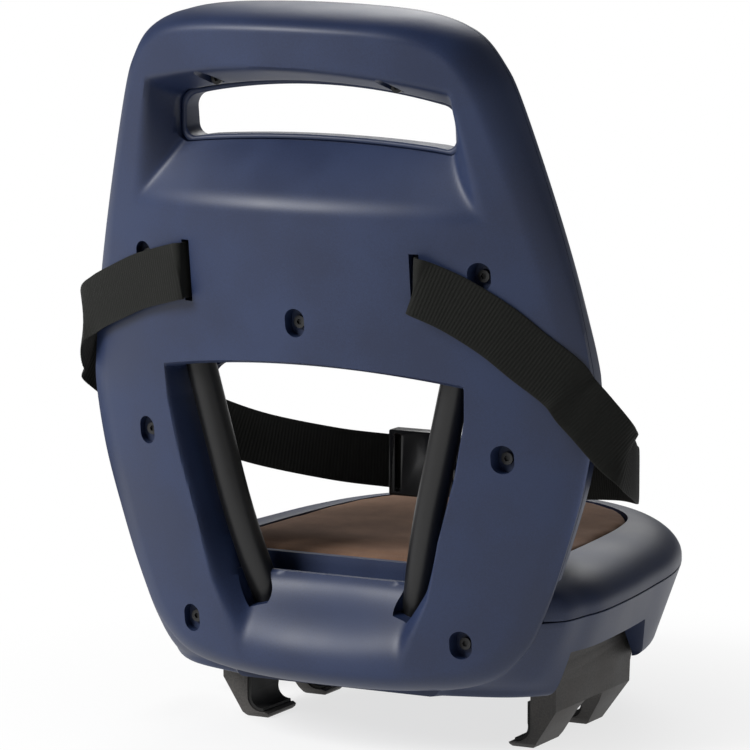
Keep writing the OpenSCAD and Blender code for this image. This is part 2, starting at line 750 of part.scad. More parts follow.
module seat_pan()
{
    color(navy)
        difference()
        {
            union()
            {
                difference()
                {
                    stack(concat([[pan_plan(0), rim_z - 5]],
                        [for (a = [0, 18, 36, 54, 72, 90]) [pan_plan(a), pan_z(a)]],
                        [[pan_plan(90), seat_z + 5]]));
                    above(seat_z);
                    translate([-far, -far, rim_z - 10])
                        cube([2 * far, 2 * far, 10]);
                    difference()
                    {
                        stack([for (s = [[0, -7], [0, 3.5], [18, 8], [34, 13]])
                            [inset(pan_plan(s[0]), wall), rim_z + s[1]]]);
                        above(inlay_z - pan_floor);
                    }
                }
                for (p = post_places)
                    translate([p.x, p.y, rim_z - 3])
                        cylinder(d = boss_d, h = inlay_z - wall / 2 - rim_z + 3, $fn = 32);
                for (p = shell_screw_places)
                    if (p.y < front_low)
                        translate([p.x - 8, boss_back(p), p.y - 7])
                            cube([16, 24, inlay_z - wall - p.y + 8]);
            }
            inlay(1.5, inlay_z, far);
            for (p = post_places)
                translate([p.x, p.y, 0])
                    cylinder(d = screw_d - 0.4, h = rim_z + 9, $fn = 32);
            for (p = shell_screw_places)
                if (p.y < front_low)
                    rod_y(screw_d - 0.4, -far, boss_back(p) + 12, p.x, p.y);
        }
}

module seat_cushion()
{
    color(brown)
        stack([for (s = [[0.1, 0], [0.1, cushion_t - 2.5], [1.2, cushion_t - 0.6], [4, cushion_t + 0.8],
            [12, cushion_t + 1.2]])
            [inset(inlay_outline, 1.5 + s[0]), inlay_z + s[1]]]);
}

// Tube and what holds it

module frame_tube()
{
    color(soft_black)
        swept_tube(tube_rings, tube_d / 2, tube_d / 2 - tube_wall, 14);
}

saddle_base = leg_z - tube_d / 2 - fit;
saddle_t = 3;
saddle_screw_x = saddle_w / 2 - 2.6;
saddle_screw_d = 3;
saddle_head_d = 5;

module tube_saddles()
{
    color(dark_grey)
        mirror_x()
            for (y = saddle_y)
                difference()
                {
                    union()
                    {
                        rod_y(tube_d + 2 * saddle_t, y, y + saddle_l, leg_x, leg_z);
                        translate([leg_x - saddle_w / 2, y, saddle_base])
                            cube([saddle_w, saddle_l, saddle_t]);
                    }
                    rod_y(tube_d + 0.2, y - 1, y + saddle_l + 1, leg_x, leg_z);
                    translate([leg_x - saddle_w, y - 1, 0])
                        cube([2 * saddle_w, saddle_l + 2, saddle_base]);
                    translate([leg_x - tube_d / 2 - 0.1, y - 1, 0])
                        cube([tube_d + 0.2, saddle_l + 2, leg_z]);
                    for (s = [-1, 1])
                        translate([leg_x + s * saddle_screw_x, y + saddle_l / 2, 0])
                        {
                            cylinder(d = saddle_screw_d + 0.4, h = far, $fn = 32);
                            translate([0, 0, saddle_base + saddle_t])
                                cylinder(d = saddle_head_d + 0.6, h = far, $fn = 32);
                        }
                }
}

// Screw with its head down at z = 0 and its shank up to z = l
module screw(d, head, t, l)
{
    difference()
    {
        union()
        {
            cylinder(d = d, h = l, $fn = 32);
            translate([0, 0, -t])
                cylinder(d = head, h = t, $fn = 32);
        }
        translate([0, 0, -t - 1])
            cylinder(d = 0.5 * head, h = 1 + 0.6 * t, $fn = 6);
    }
}

module saddle_screws()
{
    color(steel)
        mirror_x()
            for (y = saddle_y)
                for (s = [-1, 1])
                    translate([leg_x + s * saddle_screw_x, y + saddle_l / 2, saddle_base + saddle_t])
                        mirror([0, 0, 1])
                            screw(saddle_screw_d, saddle_head_d, 1.8, 12);
}

module shell_screws()
{
    color(steel)
        for (p = shell_screw_places)
            translate([p.x, pocket_floor(p), p.y])
                rotate([-90, 0, 0])
                    screw(screw_d - 0.4, head_d, head_h, wall + 11);
}

module pan_screws()
{
    color(steel)
        for (p = post_places)
            translate([p.x, p.y, rim_z - 10])
                screw(screw_d - 0.4, head_d, head_h, 18);
}

// Carrier clamp

bracket_in = bay_x + clamp_travel + 2;
bracket_top = bay_top - 3;
ear_z = rod_z - 8;
pad_t = 2;
rail_x = claw_gap / 2 + 5;
rail_z = rail_r + 6;
pad_x = rail_x + rail_r + pad_t;
claws = [[-bracket_end, -17], [22, bracket_end - 1]];
nut_w = 15;
nut_l = 8;
rod_end = bracket_x - 6 - clamp_travel - 2;

module bracket_body()
{
    difference()
    {
        intersection()
        {
            along_y([[claw_gap / 2 + 1.5, 0], [bracket_x - 17, 0], [bracket_x - 15.5, 0.8], [bracket_x, 25],
                [bracket_x, bracket_top], [bracket_in, bracket_top], [bracket_in, ear_z - 4],
                [pad_x + 0.1, ear_z - 8], [pad_x + 0.1, rail_z], [rail_x, 5.2], [claw_gap / 2, 3],
                [claw_gap / 2, 1.5]], -far, far);
            along_x([[-ear_end, bracket_top], [-ear_end, ear_z], [claws[0][0], ear_z - 3], [claws[0][0], 3],
                [claws[0][0] + 3, 0], [claws[0][1] - 3, 0], [claws[0][1], 4], [claws[0][1], 20], [-13, 25],
                [13, 25], [claws[1][0] - 4, 18], [claws[1][0], 4], [claws[1][0] + 3, 0], [claws[1][1] - 9, 0],
                [claws[1][1] - 1, 25], [claws[1][1], 38], [ear_end, ear_z], [ear_end, bracket_top]], 0, far);
        }
        translate([rail_x, -far, rail_z])
            rotate([-90, 0, 0])
                cylinder(r = rail_r + pad_t + 0.1, h = 2 * far, $fn = 64);
        for (y = [-rod_y0, rod_y0])
        {
            rod_x(rod_d + 2 * run, 0, bracket_x - 6, y, rod_z);
            rod_x(3, 0, far, y, rod_z);
        }
        rod_x(spindle_d + 1, 0, bracket_x - 3, 0, spindle_z);
        translate([0, 0, spindle_z])
            rotate([0, 90, 0])
                cylinder(d = nut_w + 0.2, h = bracket_in + nut_l + 0.2, $fn = 6);
    }
}

module bracket_left()
{
    color(dark_grey)
        difference()
        {
            mirror([1, 0, 0])
                bracket_body();
            rod_x(spindle_d + 1, -far, 0, 0, spindle_z);
        }
}

module bracket_right()
{
    color(dark_grey)
        bracket_body();
}

module jaw_pads()
{
    lip = 15;
    for (c = claws)
        along_y_section(c[0] + 1, c[1] - (c[0] < 0 ? 1 : 2))
            difference()
            {
                union()
                {
                    translate([rail_x, rail_z])
                        circle(r = rail_r + pad_t, $fn = 64);
                    translate([pad_x - pad_t - 0.3, rail_z])
                        square([pad_t + 0.3, 16]);
                }
                translate([rail_x, rail_z])
                    circle(r = rail_r, $fn = 64);
                polygon([[rail_x, rail_z], [pad_x - pad_t - 0.3, rail_z + (rail_r - 0.3) * tan(lip)],
                    [pad_x - pad_t - 0.3, 60], [60, 60], [60, -20], [rail_x - 4.2, -20]]);
            }
}

// Section in the XZ plane made solid from y = y0 to y = y1
module along_y_section(y0, y1)
{
    translate([0, y1, 0])
        rotate([90, 0, 0])
            linear_extrude(height = y1 - y0)
                children();
}

module jaw_pads_left()
{
    color(soft_black)
        mirror([1, 0, 0])
            jaw_pads();
}

module jaw_pads_right()
{
    color(soft_black)
        jaw_pads();
}

module guide_rods()
{
    color(steel)
        for (y = [-rod_y0, rod_y0])
            rod_x(rod_d, -rod_end, rod_end, y, rod_z);
}

// Spindle with its bearings, nuts and knob

knob_in = bracket_x + 36.6;
knob_out = knob_in + knob_t;
hub_l = 7;
hub_d = 24;
clip_x = bay_x - 2.5 - 1.6 - 0.3;
clip_t = 1.2;
spindle_end = bracket_x - 3 - clamp_travel - 2;
pin_x = knob_in - hub_l / 2;

module spindle()
{
    color(steel)
        difference()
        {
            rod_x(spindle_d, -knob_out + 4, spindle_end, 0, spindle_z);
            for (s = [-1, 1])
                translate([s * (clip_x - clip_t / 2), 0, spindle_z])
                    rotate([0, 90, 0])
                        translate([0, 0, -clip_t / 2])
                            difference()
                            {
                                cylinder(d = spindle_d + 2, h = clip_t, $fn = 48);
                                translate([0, 0, -1])
                                    cylinder(d = spindle_d - 1.6, h = clip_t + 2, $fn = 48);
                            }
            translate([-pin_x, 0, spindle_z - spindle_d])
                cylinder(d = 3, h = 2 * spindle_d, $fn = 32);
        }
}

module knob()
{
    color(dark_grey)
        difference()
        {
            translate([-knob_in + hub_l, 0, spindle_z])
                rotate([0, -90, 0])
                    rotate_extrude($fn = 96)
                        polygon([[0, 0], [hub_d / 2, 0], [hub_d / 2, hub_l], [knob_d / 2 - 3, hub_l],
                            [knob_d / 2 - 0.8, hub_l + 0.8], [knob_d / 2, hub_l + 3],
                            [knob_d / 2, hub_l + knob_t - 4], [knob_d / 2 - 1.2, hub_l + knob_t - 1.2],
                            [knob_d / 2 - 4, hub_l + knob_t], [0, hub_l + knob_t]]);
            rod_x(spindle_d + 0.1, -knob_out + 4, 0, 0, spindle_z);
            translate([-pin_x, 0, spindle_z - hub_d])
                cylinder(d = 3, h = 2 * hub_d, $fn = 32);
            for (a = [0 : 30 : 330])
                rotate_about_spindle(a)
                    translate([-knob_out - 1, 0, knob_d / 2 + 2.6])
                        rotate([0, 90, 0])
                            cylinder(d = 8, h = knob_t + 2, $fn = 32);
        }
}

module rotate_about_spindle(a)
{
    translate([0, 0, spindle_z])
        rotate([a, 0, 0])
            children();
}

module knob_pin()
{
    color(steel)
        translate([-pin_x, 0, spindle_z - hub_d / 2 + 1])
            cylinder(d = 3, h = hub_d - 2, $fn = 32);
}

module spindle_nut()
{
    translate([bracket_in, 0, spindle_z])
        rotate([0, 90, 0])
            difference()
            {
                cylinder(d = nut_w, h = nut_l, $fn = 6);
                translate([0, 0, -1])
                    cylinder(d = spindle_d + 2 * run, h = nut_l + 2, $fn = 48);
            }
}

module spindle_nut_left()
{
    color(steel)
        mirror([1, 0, 0])
            spindle_nut();
}

module spindle_nut_right()
{
    color(steel)
        spindle_nut();
}

module spindle_bushes()
{
    color(soft_black)
        mirror_x()
            difference()
            {
                union()
                {
                    rod_x(2 * bush_r, bay_x - bush_wall, bay_x, 0, spindle_z);
                    rod_x(bush_flange, bay_x - 4.1, bay_x - bush_wall, 0, spindle_z);
                }
                rod_x(spindle_d + 2 * run, 0, far, 0, spindle_z);
            }
}

module retaining_clips()
{
    color(steel)
        mirror_x()
            difference()
            {
                rod_x(spindle_d + 5, clip_x - clip_t, clip_x, 0, spindle_z);
                rod_x(spindle_d - 1.6, 0, far, 0, spindle_z);
            }
}

// Lap belt

belt_z = 165;
loop_r = pin_d / 2 + belt_t / 2 + 0.6;
loop_x = slot_x - 2;
loop_y = pin_y(slot_x);
function loop(s) = [for (a = [215 : -36 : 0]) [s * (loop_x + loop_r * cos(a)), loop_y + loop_r * sin(a), slot_z]];
belt_way_left = concat(loop(-1), [[-slot_x - 1.7, -173, slot_z]],
    curve([[-83.4, -176.8, 305.5], [-100, -170, 301], [-120, -160.5, 295], [-142, -149.5, 286], [-165, -136, 276],
        [-181, -124, 265], [-188, -108, 245], [-188, -100, 238], [-180, -65, 215], [-155, -30, 190],
        [-120, -10, 175], [-70, 0, 167], [-34, 3, belt_z], [-14, 3, belt_z]], 3));
belt_way_right = concat(loop(1), [[slot_x + 1.7, -173, slot_z]],
    curve([[83.4, -176.8, 305.5], [103, -168, 296], [126, -156.5, 280], [143, -146.5, 264], [160, -135.5, 248],
        [167, -129, 236], [175, -122, 224], [186, -110, 205], [188, -100, 197], [185, -80, 192],
        [170, -45, 182], [140, -15, 175], [90, 2, 167], [44, 3, belt_z], [20, 3, belt_z]], 3));

module ribbon(way)
{
    n = len(way) - 1;
    function run_at(i) = let(d = way[min(i + 1, n)] - way[max(i - 1, 0)]) d / norm(d);
    function across_at(i) = let(t = run_at(i), w = [0, 0, 1] - t.z * t) w / norm(w);
    polyhedron(
        points = [for (i = [0 : n])
            let(w = across_at(i) * belt_w / 2, o = cross(run_at(i), across_at(i)) * belt_t / 2)
            each [way[i] + w + o, way[i] + w - o, way[i] - w - o, way[i] - w + o]],
        faces = concat(
            [[2, 1, 0], [3, 2, 0], [4 * n, 4 * n + 1, 4 * n + 2], [4 * n, 4 * n + 2, 4 * n + 3]],
            [for (i = [0 : n - 1]) for (k = [0 : 3])
                let(a = 4 * i + k, b = 4 * i + (k + 1) % 4)
                each [[b + 4, a + 4, a], [b, b + 4, a]]]),
        convexity = 8);
}

module belt_left()
{
    color(soft_black)
        ribbon(belt_way_left);
}

module belt_right()
{
    color(soft_black)
        ribbon(belt_way_right);
}

module belt_pins()
{
    color(steel)
        mirror_x()
            translate([loop_x, loop_y, slot_z - slot_h / 2 - 2.5])
                cylinder(d = pin_d, h = slot_h + 5, $fn = 48);
}

buckle_w = belt_w + 8;
buckle_y = 3;

module buckle_socket()
{
    color(soft_black)
        difference()
        {
            translate([-26, buckle_y - 6, belt_z - buckle_w / 2])
                cube([34, 12, buckle_w]);
            translate([-5, buckle_y - 3.5, belt_z - buckle_w / 2 + 3])
                cube([20, 7, buckle_w - 6]);
            translate([-22, buckle_y - 7, belt_z - belt_w / 2 - 1])
                cube([4, 14, belt_w + 2]);
            translate([-30, buckle_y - 1.2, belt_z - belt_w / 2 - 1])
                cube([22, 2.4, belt_w + 2]);
        }
}

module buckle_plug()
{
    color(soft_black)
        difference()
        {
            union()
            {
                translate([8.4, buckle_y - 5, belt_z - buckle_w / 2 + 2])
                    cube([18, 10, buckle_w - 4]);
                for (z = [belt_z - buckle_w / 2 + 3.4, belt_z + buckle_w / 2 - 9.4])
                    translate([-3, buckle_y - 3, z])
                        cube([12, 6, 6]);
            }
            translate([15, buckle_y - 1.2, belt_z - belt_w / 2 - 1])
                cube([22, 2.4, belt_w + 2]);
            translate([19, buckle_y - 7, belt_z - belt_w / 2 - 1])
                cube([4, 14, belt_w + 2]);
        }
}

rear_shell();
front_shell();
seat_pan();
seat_cushion();
frame_tube();
tube_saddles();
saddle_screws();
shell_screws();
pan_screws();
bracket_left();
bracket_right();
jaw_pads_left();
jaw_pads_right();
guide_rods();
spindle();
knob();
knob_pin();
spindle_nut_left();
spindle_nut_right();
spindle_bushes();
retaining_clips();
belt_left();
belt_right();
buckle_socket();
buckle_plug();
belt_pins();
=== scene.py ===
import math

import bpy
import bmesh
import numpy as np
from mathutils import Matrix, Vector


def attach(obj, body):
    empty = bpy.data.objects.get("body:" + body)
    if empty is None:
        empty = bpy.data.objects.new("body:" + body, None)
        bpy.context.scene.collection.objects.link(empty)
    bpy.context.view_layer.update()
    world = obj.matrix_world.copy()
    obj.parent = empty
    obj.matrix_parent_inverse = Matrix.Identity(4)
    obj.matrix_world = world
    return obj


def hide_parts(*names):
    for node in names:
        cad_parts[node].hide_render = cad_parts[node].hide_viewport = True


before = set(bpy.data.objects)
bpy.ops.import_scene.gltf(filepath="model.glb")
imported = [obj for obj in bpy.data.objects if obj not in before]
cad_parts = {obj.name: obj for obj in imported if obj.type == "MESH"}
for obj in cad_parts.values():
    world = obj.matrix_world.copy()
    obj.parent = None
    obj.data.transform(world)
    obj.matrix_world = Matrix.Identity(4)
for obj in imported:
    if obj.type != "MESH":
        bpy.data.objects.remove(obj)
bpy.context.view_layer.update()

mm = 0.001


# Camera: behind the seat, a little to its right and above

camera = {
    "azimuth": 27.6,                          # degrees from straight behind
    "elevation": 8.6,
    "distance": 3.1,                          # metres
    "lens": 240,                              # mm on a 36 mm sensor
    "screwPoint": Vector((0, -0.160, 0)),     # foot of the plane of the handle screws
    "aside": 0.0407,                          # picture centre, to the right of that point
    "up": 0.2419,                             # and above it
    "farthest": 50,
}

turn = math.radians(camera["azimuth"])
tilt = math.radians(camera["elevation"])
towards = Vector((math.sin(turn) * math.cos(tilt),
                  -math.cos(turn) * math.cos(tilt),
                  math.sin(tilt)))
rightward = Vector((math.cos(turn), math.sin(turn), 0))
upward = towards.cross(rightward)
target = camera["screwPoint"] + camera["aside"] * rightward + camera["up"] * upward
bpy.ops.object.camera_add()
cam = bpy.context.object
cam.name = "camera"
cam.data.lens = camera["lens"]
cam.data.clip_end = camera["farthest"]
pose = Matrix((rightward, upward, towards)).transposed().to_4x4()
pose.translation = target + camera["distance"] * towards
cam.matrix_world = pose
bpy.context.scene.camera = cam
bpy.context.scene.view_settings.view_transform = "Standard"
print("camera set")


# Helpers for the modelling

weldWithin = 0.000002         # metres between points that a loft joins
copyWeldWithin = 0.00001      # and that a copy of a solid joins
softAngle = 38                # degrees; sharper edges of a moulding stay hard
def deselectAll():
    if bpy.context.mode != "OBJECT":
        bpy.ops.object.mode_set(mode="OBJECT")
    bpy.ops.object.select_all(action="DESELECT")


def activate(piece):
    deselectAll()
    piece.select_set(True)
    bpy.context.view_layer.objects.active = piece



def addModifier(piece, kind, **settings):
    activate(piece)
    modifier = piece.modifiers.new(kind.lower(), kind)
    for key, value in settings.items():
        setattr(modifier, key, value)
    bpy.ops.object.modifier_apply(modifier=modifier.name)


def smoothByAngle(piece, degrees=35):
    activate(piece)
    bpy.ops.object.shade_smooth_by_angle(angle=math.radians(degrees))


def fixNormals(piece):
    activate(piece)
    bpy.ops.object.mode_set(mode="EDIT")
    bpy.ops.mesh.select_all(action="SELECT")
    bpy.ops.mesh.normals_make_consistent(inside=False)
    bpy.ops.object.mode_set(mode="OBJECT")


def cut(piece, cutters, keep="DIFFERENCE"):
    for cutter in cutters:
        addModifier(piece, "BOOLEAN", operation=keep, solver="EXACT", object=cutter)
        bpy.data.objects.remove(cutter)


# Rows of points joined in turn; each row closes on itself, and both ends are filled
def loft(name, rows, endsOpen=False, uvAt=None):
    n, k = len(rows[0]), len(rows)
    deselectAll()
    bpy.ops.mesh.primitive_grid_add(x_subdivisions=n, y_subdivisions=k - 1, size=2)
    piece = bpy.context.object
    piece.name = name
    piece.data.name = name
    spots = [(round((v.co.x + 1) / 2 * n) % n, round((v.co.y + 1) / 2 * (k - 1)))
             for v in piece.data.vertices]
    if uvAt:
        for corner in piece.data.loops:
            piece.data.uv_layers.active.data[corner.index].uv = uvAt(*spots[corner.vertex_index])
    for vertex, (i, j) in zip(piece.data.vertices, spots):
        vertex.co = Vector(rows[j][i]) * mm
    bpy.ops.object.mode_set(mode="EDIT")
    bpy.ops.mesh.select_all(action="SELECT")
    bpy.ops.mesh.remove_doubles(threshold=weldWithin)
    if not endsOpen:
        bpy.ops.mesh.fill_holes(sides=0)
    bpy.ops.mesh.normals_make_consistent(inside=False)
    bpy.ops.object.mode_set(mode="OBJECT")
    return piece


def joined(name, pieces):
    activate(pieces[0])
    for piece in pieces[1:]:
        piece.select_set(True)
    if len(pieces) > 1:
        bpy.ops.object.join()
    pieces[0].name = name
    pieces[0].data.name = name
    return pieces[0]


# The outline in x and z, drawn out along y
def along(name, outlinePoints, y0, y1):
    return loft(name, [[(x, y, z) for x, z in outlinePoints] for y in (y0, y1)])


def cadCopy(node, name, dissolve=None):
    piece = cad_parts[node].copy()
    piece.data = piece.data.copy()
    piece.name = name
    piece.data.name = name
    bpy.context.scene.collection.objects.link(piece)
    activate(piece)
    bpy.ops.object.mode_set(mode="EDIT")
    bpy.ops.mesh.select_all(action="SELECT")
    bpy.ops.mesh.remove_doubles(threshold=copyWeldWithin)
    if dissolve:
        bpy.ops.mesh.dissolve_limited(angle_limit=math.radians(dissolve))
    bpy.ops.object.mode_set(mode="OBJECT")
    return piece


# Backrest: the same form as the solid part's, with finer lines, in mm and degrees

backrest = {
    "top": 472.5, "foot": 44, "footY": -150, "recline": 6.8, "radius": 320,
    "seamY": -118, "waist": 250, "seamLean": 7.25, "seamLap": 2,
    "frontRadius": 900, "frontRise": 4, "frontLow": 122,
    "edgeRound": 15,
    # grip hole, and the recess round it, wider than the hole at its foot and at its top
    "gripX": 93.5, "gripLow": 391, "gripHigh": 422, "gripY": -146,
    "gripArch": 11, "gripSag": 5, "gripHighRound": 10, "gripHighDrop": 8, "gripLowRound": 7,
    "rearGrow": 3.3, "frontGrow": 2.9,             # the shells are cut wider than the collar
    "recessLow": 345, "recessHigh": 437, "recessOut": (31, 9),
    "recessArch": 9, "recessSag": 4, "recessSagX": 123.5, "recessEase": 0.3, "recessSoft": 0.05,
    # large opening, whose top falls by openArch over 100 mm, and the slopes down to it
    "openHigh": 253, "openArch": 9, "openTrim": 3, "openFlat": 62,
    "openRound": 18, "openRoundZ": 224, "openSideAt": 226, "openSideTop": 205, "openSideFoot": 6,
    "slopeWide": 20, "slopeFrom": 90, "slopeOver": 50, "lipHigh": 5, "lipFoot": 6, "lipLow": 60,
    "openSoft": 0.07,
    "panelTop": 113, "panelY": -123, "panelBack": 3,
    "tubeD": 19, "tubeLean": 13.86, "legZ": 70, "legX": 46.5, "tubeRoom": 1.2,
    # grid: how its lines crowd at the edges, and where they follow the opening
    "columns": 150, "rows": 240, "columnCrowd": 0.55, "rowCrowd": 0.3,
    "holeColumn": 0.43, "crestColumn": 0.61,
    "followFrom": 60, "followIn": 50, "followTo": 300, "followOut": 40,
    "rowBend": 24, "rowBendX": 105,
    "frontColumns": 120, "frontRows": 150,
    # levels that the surfaces are closed at, and the gaps at the seam
    "rearClose": -60, "frontClose": -175, "rearGap": 0.35, "frontGap": -0.25,
    "behind": -260, "ahead": -20, "throughPanel": -88, "perPiece": 8,
}
b = backrest

# x and z of the outline's right half, from the middle of the top to the middle of the foot
halfOutline = [
    (0, 472.5), (53.35, 471), (86, 466.5), (108, 457), (122, 440.5), (133, 416.5),
    (153.52, 348.2), (167.5, 290), (175.5, 238), (169.5, 188), (155.5, 139), (141.5, 100),
    (127.5, 74), (103.5, 54.5), (60, 46), (0, 44),
]
cornerPoint, heelPoint = 3, 12


def mix(a, c, t):
    return a + (c - a) * t


def smoothStep(t):
    u = np.clip(t, 0, 1)
    return u * u * (3 - 2 * u)


# The point before the first or after the last: mirrored where the curve ends on the middle
def beyond(p, q):
    return q * np.array([-1, 1]) if len(p) == 2 and p[0] == 0 else p


# Smooth curve through the points, with n pieces between neighbours
def curveThrough(points, n):
    p = [np.array(q, float) for q in points]
    k = len(p) - 1
    out = []
    for i in range(k):
        a = p[i - 1] if i else beyond(p[0], p[1])
        q, c = p[i], p[i + 1]
        d = p[i + 2] if i < k - 1 else beyond(p[k], p[k - 1])
        for j in range(n):
            t = j / n
            out.append(0.5 * (2 * q + (c - a) * t + (2 * a - 5 * q + 4 * c - d) * t * t
                              + (3 * q - a - 3 * c + d) * t ** 3))
    out.append(p[k])
    return np.array(out)


def bothSides(half):
    half = [tuple(p) for p in half]
    return half + [(-x, z) for x, z in half[-2:0:-1]]


outlineHalf = curveThrough(halfOutline, b["perPiece"])
outline = np.array(bothSides(outlineHalf))
cornerAt, heelAt = cornerPoint * b["perPiece"], heelPoint * b["perPiece"]
corner, heel = outlineHalf[cornerAt], outlineHalf[heelAt]


def outlineDistance(x, z, loop):
    best = np.full(x.shape, 1e9)
    for i in range(len(loop)):
        a, c = loop[i], loop[(i + 1) % len(loop)]
        d = (c[0] - a[0], c[1] - a[1])
        t = np.clip(((x - a[0]) * d[0] + (z - a[1]) * d[1]) / (d[0] ** 2 + d[1] ** 2), 0, 1)
        best = np.minimum(best, np.hypot(x - a[0] - t * d[0], z - a[1] - t * d[1]))
    return best


def seam(z):
    return b["seamY"] - np.maximum(0, z - b["waist"]) * math.tan(math.radians(b["seamLean"]))


def rearFace(x, z):
    lean = math.tan(math.radians(b["recline"]))
    return b["footY"] - (z - b["foot"]) * lean + b["radius"] - np.sqrt(b["radius"] ** 2 - x * x)


def edgeRise(x, z):
    u = np.clip(outlineDistance(x, z, outline) / b["edgeRound"], 0, 1)
    return np.sqrt(1 - (1 - u) ** 2)


def recessSide(z):
    foot, top = (b["gripX"] + out for out in b["recessOut"])
    return mix(foot, top, (z - b["recessLow"]) / (b["recessHigh"] - b["recessLow"]))


def gripTop(x):
    return b["gripHigh"] - b["gripArch"] * (x / b["gripX"]) ** 2


def gripBottom(x):
    return b["gripLow"] - b["gripSag"] * (x / b["gripX"]) ** 2


# Lesser of three values with the creases between them rounded by r
def softLeast(values, r):
    return -r * np.log(sum(np.exp(-v / r) for v in values))


# 0 at the edge of the recess, 1 at the edge of the grip hole
def gripDepth(x, z):
    top = b["recessHigh"] - b["recessArch"] * (x / b["gripX"]) ** 2
    low = b["recessLow"] - b["recessSag"] * (x / b["recessSagX"]) ** 2
    side = recessSide(z)
    return softLeast([
        (side - abs(x)) / (side - b["gripX"]),
        (top - z) / (top - gripTop(x)),
        (z - low) / (gripBottom(x) - low),
    ], b["recessSoft"])


# Height and half width of the ridges beside the opening
ridgeLine = [(60, 58), (84, 66), (109, 77), (145, 84.5), (187, 97), (222, 104), (260, 105)]


def ridge(z):
    return np.interp(z, [p[0] for p in ridgeLine], [p[1] for p in ridgeLine])


def tubeX(z):
    return b["legX"] + (z - b["legZ"]) * math.tan(math.radians(b["tubeLean"]))


def holeSide(z):
    return tubeX(z) + b["tubeD"] / 2 + b["tubeRoom"]


def openTop(x):
    return b["openHigh"] - b["openArch"] * (x / 100) ** 2


# 0 at the ridge, 1 at the edge of the large opening
def openDepth(x, z):
    wide = mix(b["slopeWide"], ridge(z) - holeSide(z),
               smoothStep((z - b["slopeFrom"]) / b["slopeOver"]))
    return softLeast([
        (ridge(z) - abs(x)) / wide,
        (openTop(x) - z) / b["lipHigh"],
        (z - b["foot"] - b["lipFoot"]) / b["lipLow"],
    ], b["openSoft"])


def panel(x, z):
    depth = np.where(z > b["panelTop"], seam(z) - b["panelBack"], b["panelY"])
    share = smoothStep((z - b["foot"]) / (b["panelTop"] - b["foot"]))
    return mix(rearFace(x, z), depth, share)


def rearForm(x, z):
    edge = mix(seam(z) - b["seamLap"], rearFace(x, z), edgeRise(x, z))
    opened = mix(edge, panel(x, z), smoothStep(openDepth(x, z)))
    v, ease = np.clip(gripDepth(x, z), 0, 1), b["recessEase"]
    straight = 1 - ease / 2
    sunk = np.where(v < ease, v * v / (2 * ease * straight), (v - ease / 2) / straight)
    return np.where(v > 0, mix(opened, b["gripY"], sunk), opened)


def frontForm(x, z):
    crown = seam(z) + b["frontRise"] + b["frontRadius"]
    dished = crown - np.sqrt(b["frontRadius"] ** 2 - x * x)
    return mix(seam(z) + b["seamLap"], dished, edgeRise(x, z))


def formAt(form, x, z):
    return float(form(np.array([float(x)]), np.array([float(z)]))[0])


def gripOutline(grow=0.0):
    gx, high, low = b["gripX"] + grow, b["gripHighRound"], b["gripLowRound"]
    highZ = gripTop(b["gripX"]) + grow - b["gripHighDrop"]
    lowZ = gripBottom(b["gripX"]) - grow + low
    half = [(x, gripTop(x) + grow) for x in np.linspace(0, b["gripX"] - high - 2, 12)]
    half += [(gx - high + high * math.cos(a), highZ + high * math.sin(a))
             for a in np.radians(np.linspace(75, 0, 8))]
    half += [(gx - low + low * math.cos(a), lowZ + low * math.sin(a))
             for a in np.radians(np.linspace(0, -80, 8))]
    half += [(x, gripBottom(x) - grow) for x in np.linspace(b["gripX"] - 2 * low, 0, 12)]
    return bothSides(half)


def openOutline():
    r = b["openRound"]
    half = [(x, openTop(x) - b["openTrim"]) for x in np.linspace(0, b["openFlat"], 8)]
    half += [(holeSide(b["openSideAt"]) - r + r * math.cos(a), b["openRoundZ"] + r * math.sin(a))
             for a in np.radians(np.linspace(75, 0, 10))]
    half += [(holeSide(z), z)
             for z in np.linspace(b["openSideTop"], b["panelTop"] + b["openSideFoot"], 8)]
    half += [(holeSide(b["panelTop"]), b["panelTop"]), (0, b["panelTop"])]
    return bothSides(half)


# Even steps from -1 to 1, of which a share is drawn towards both ends
def closeToEnds(count, share):
    t = np.linspace(-1, 1, count)
    return (1 - share) * t + share * np.sin(t * math.pi / 2)


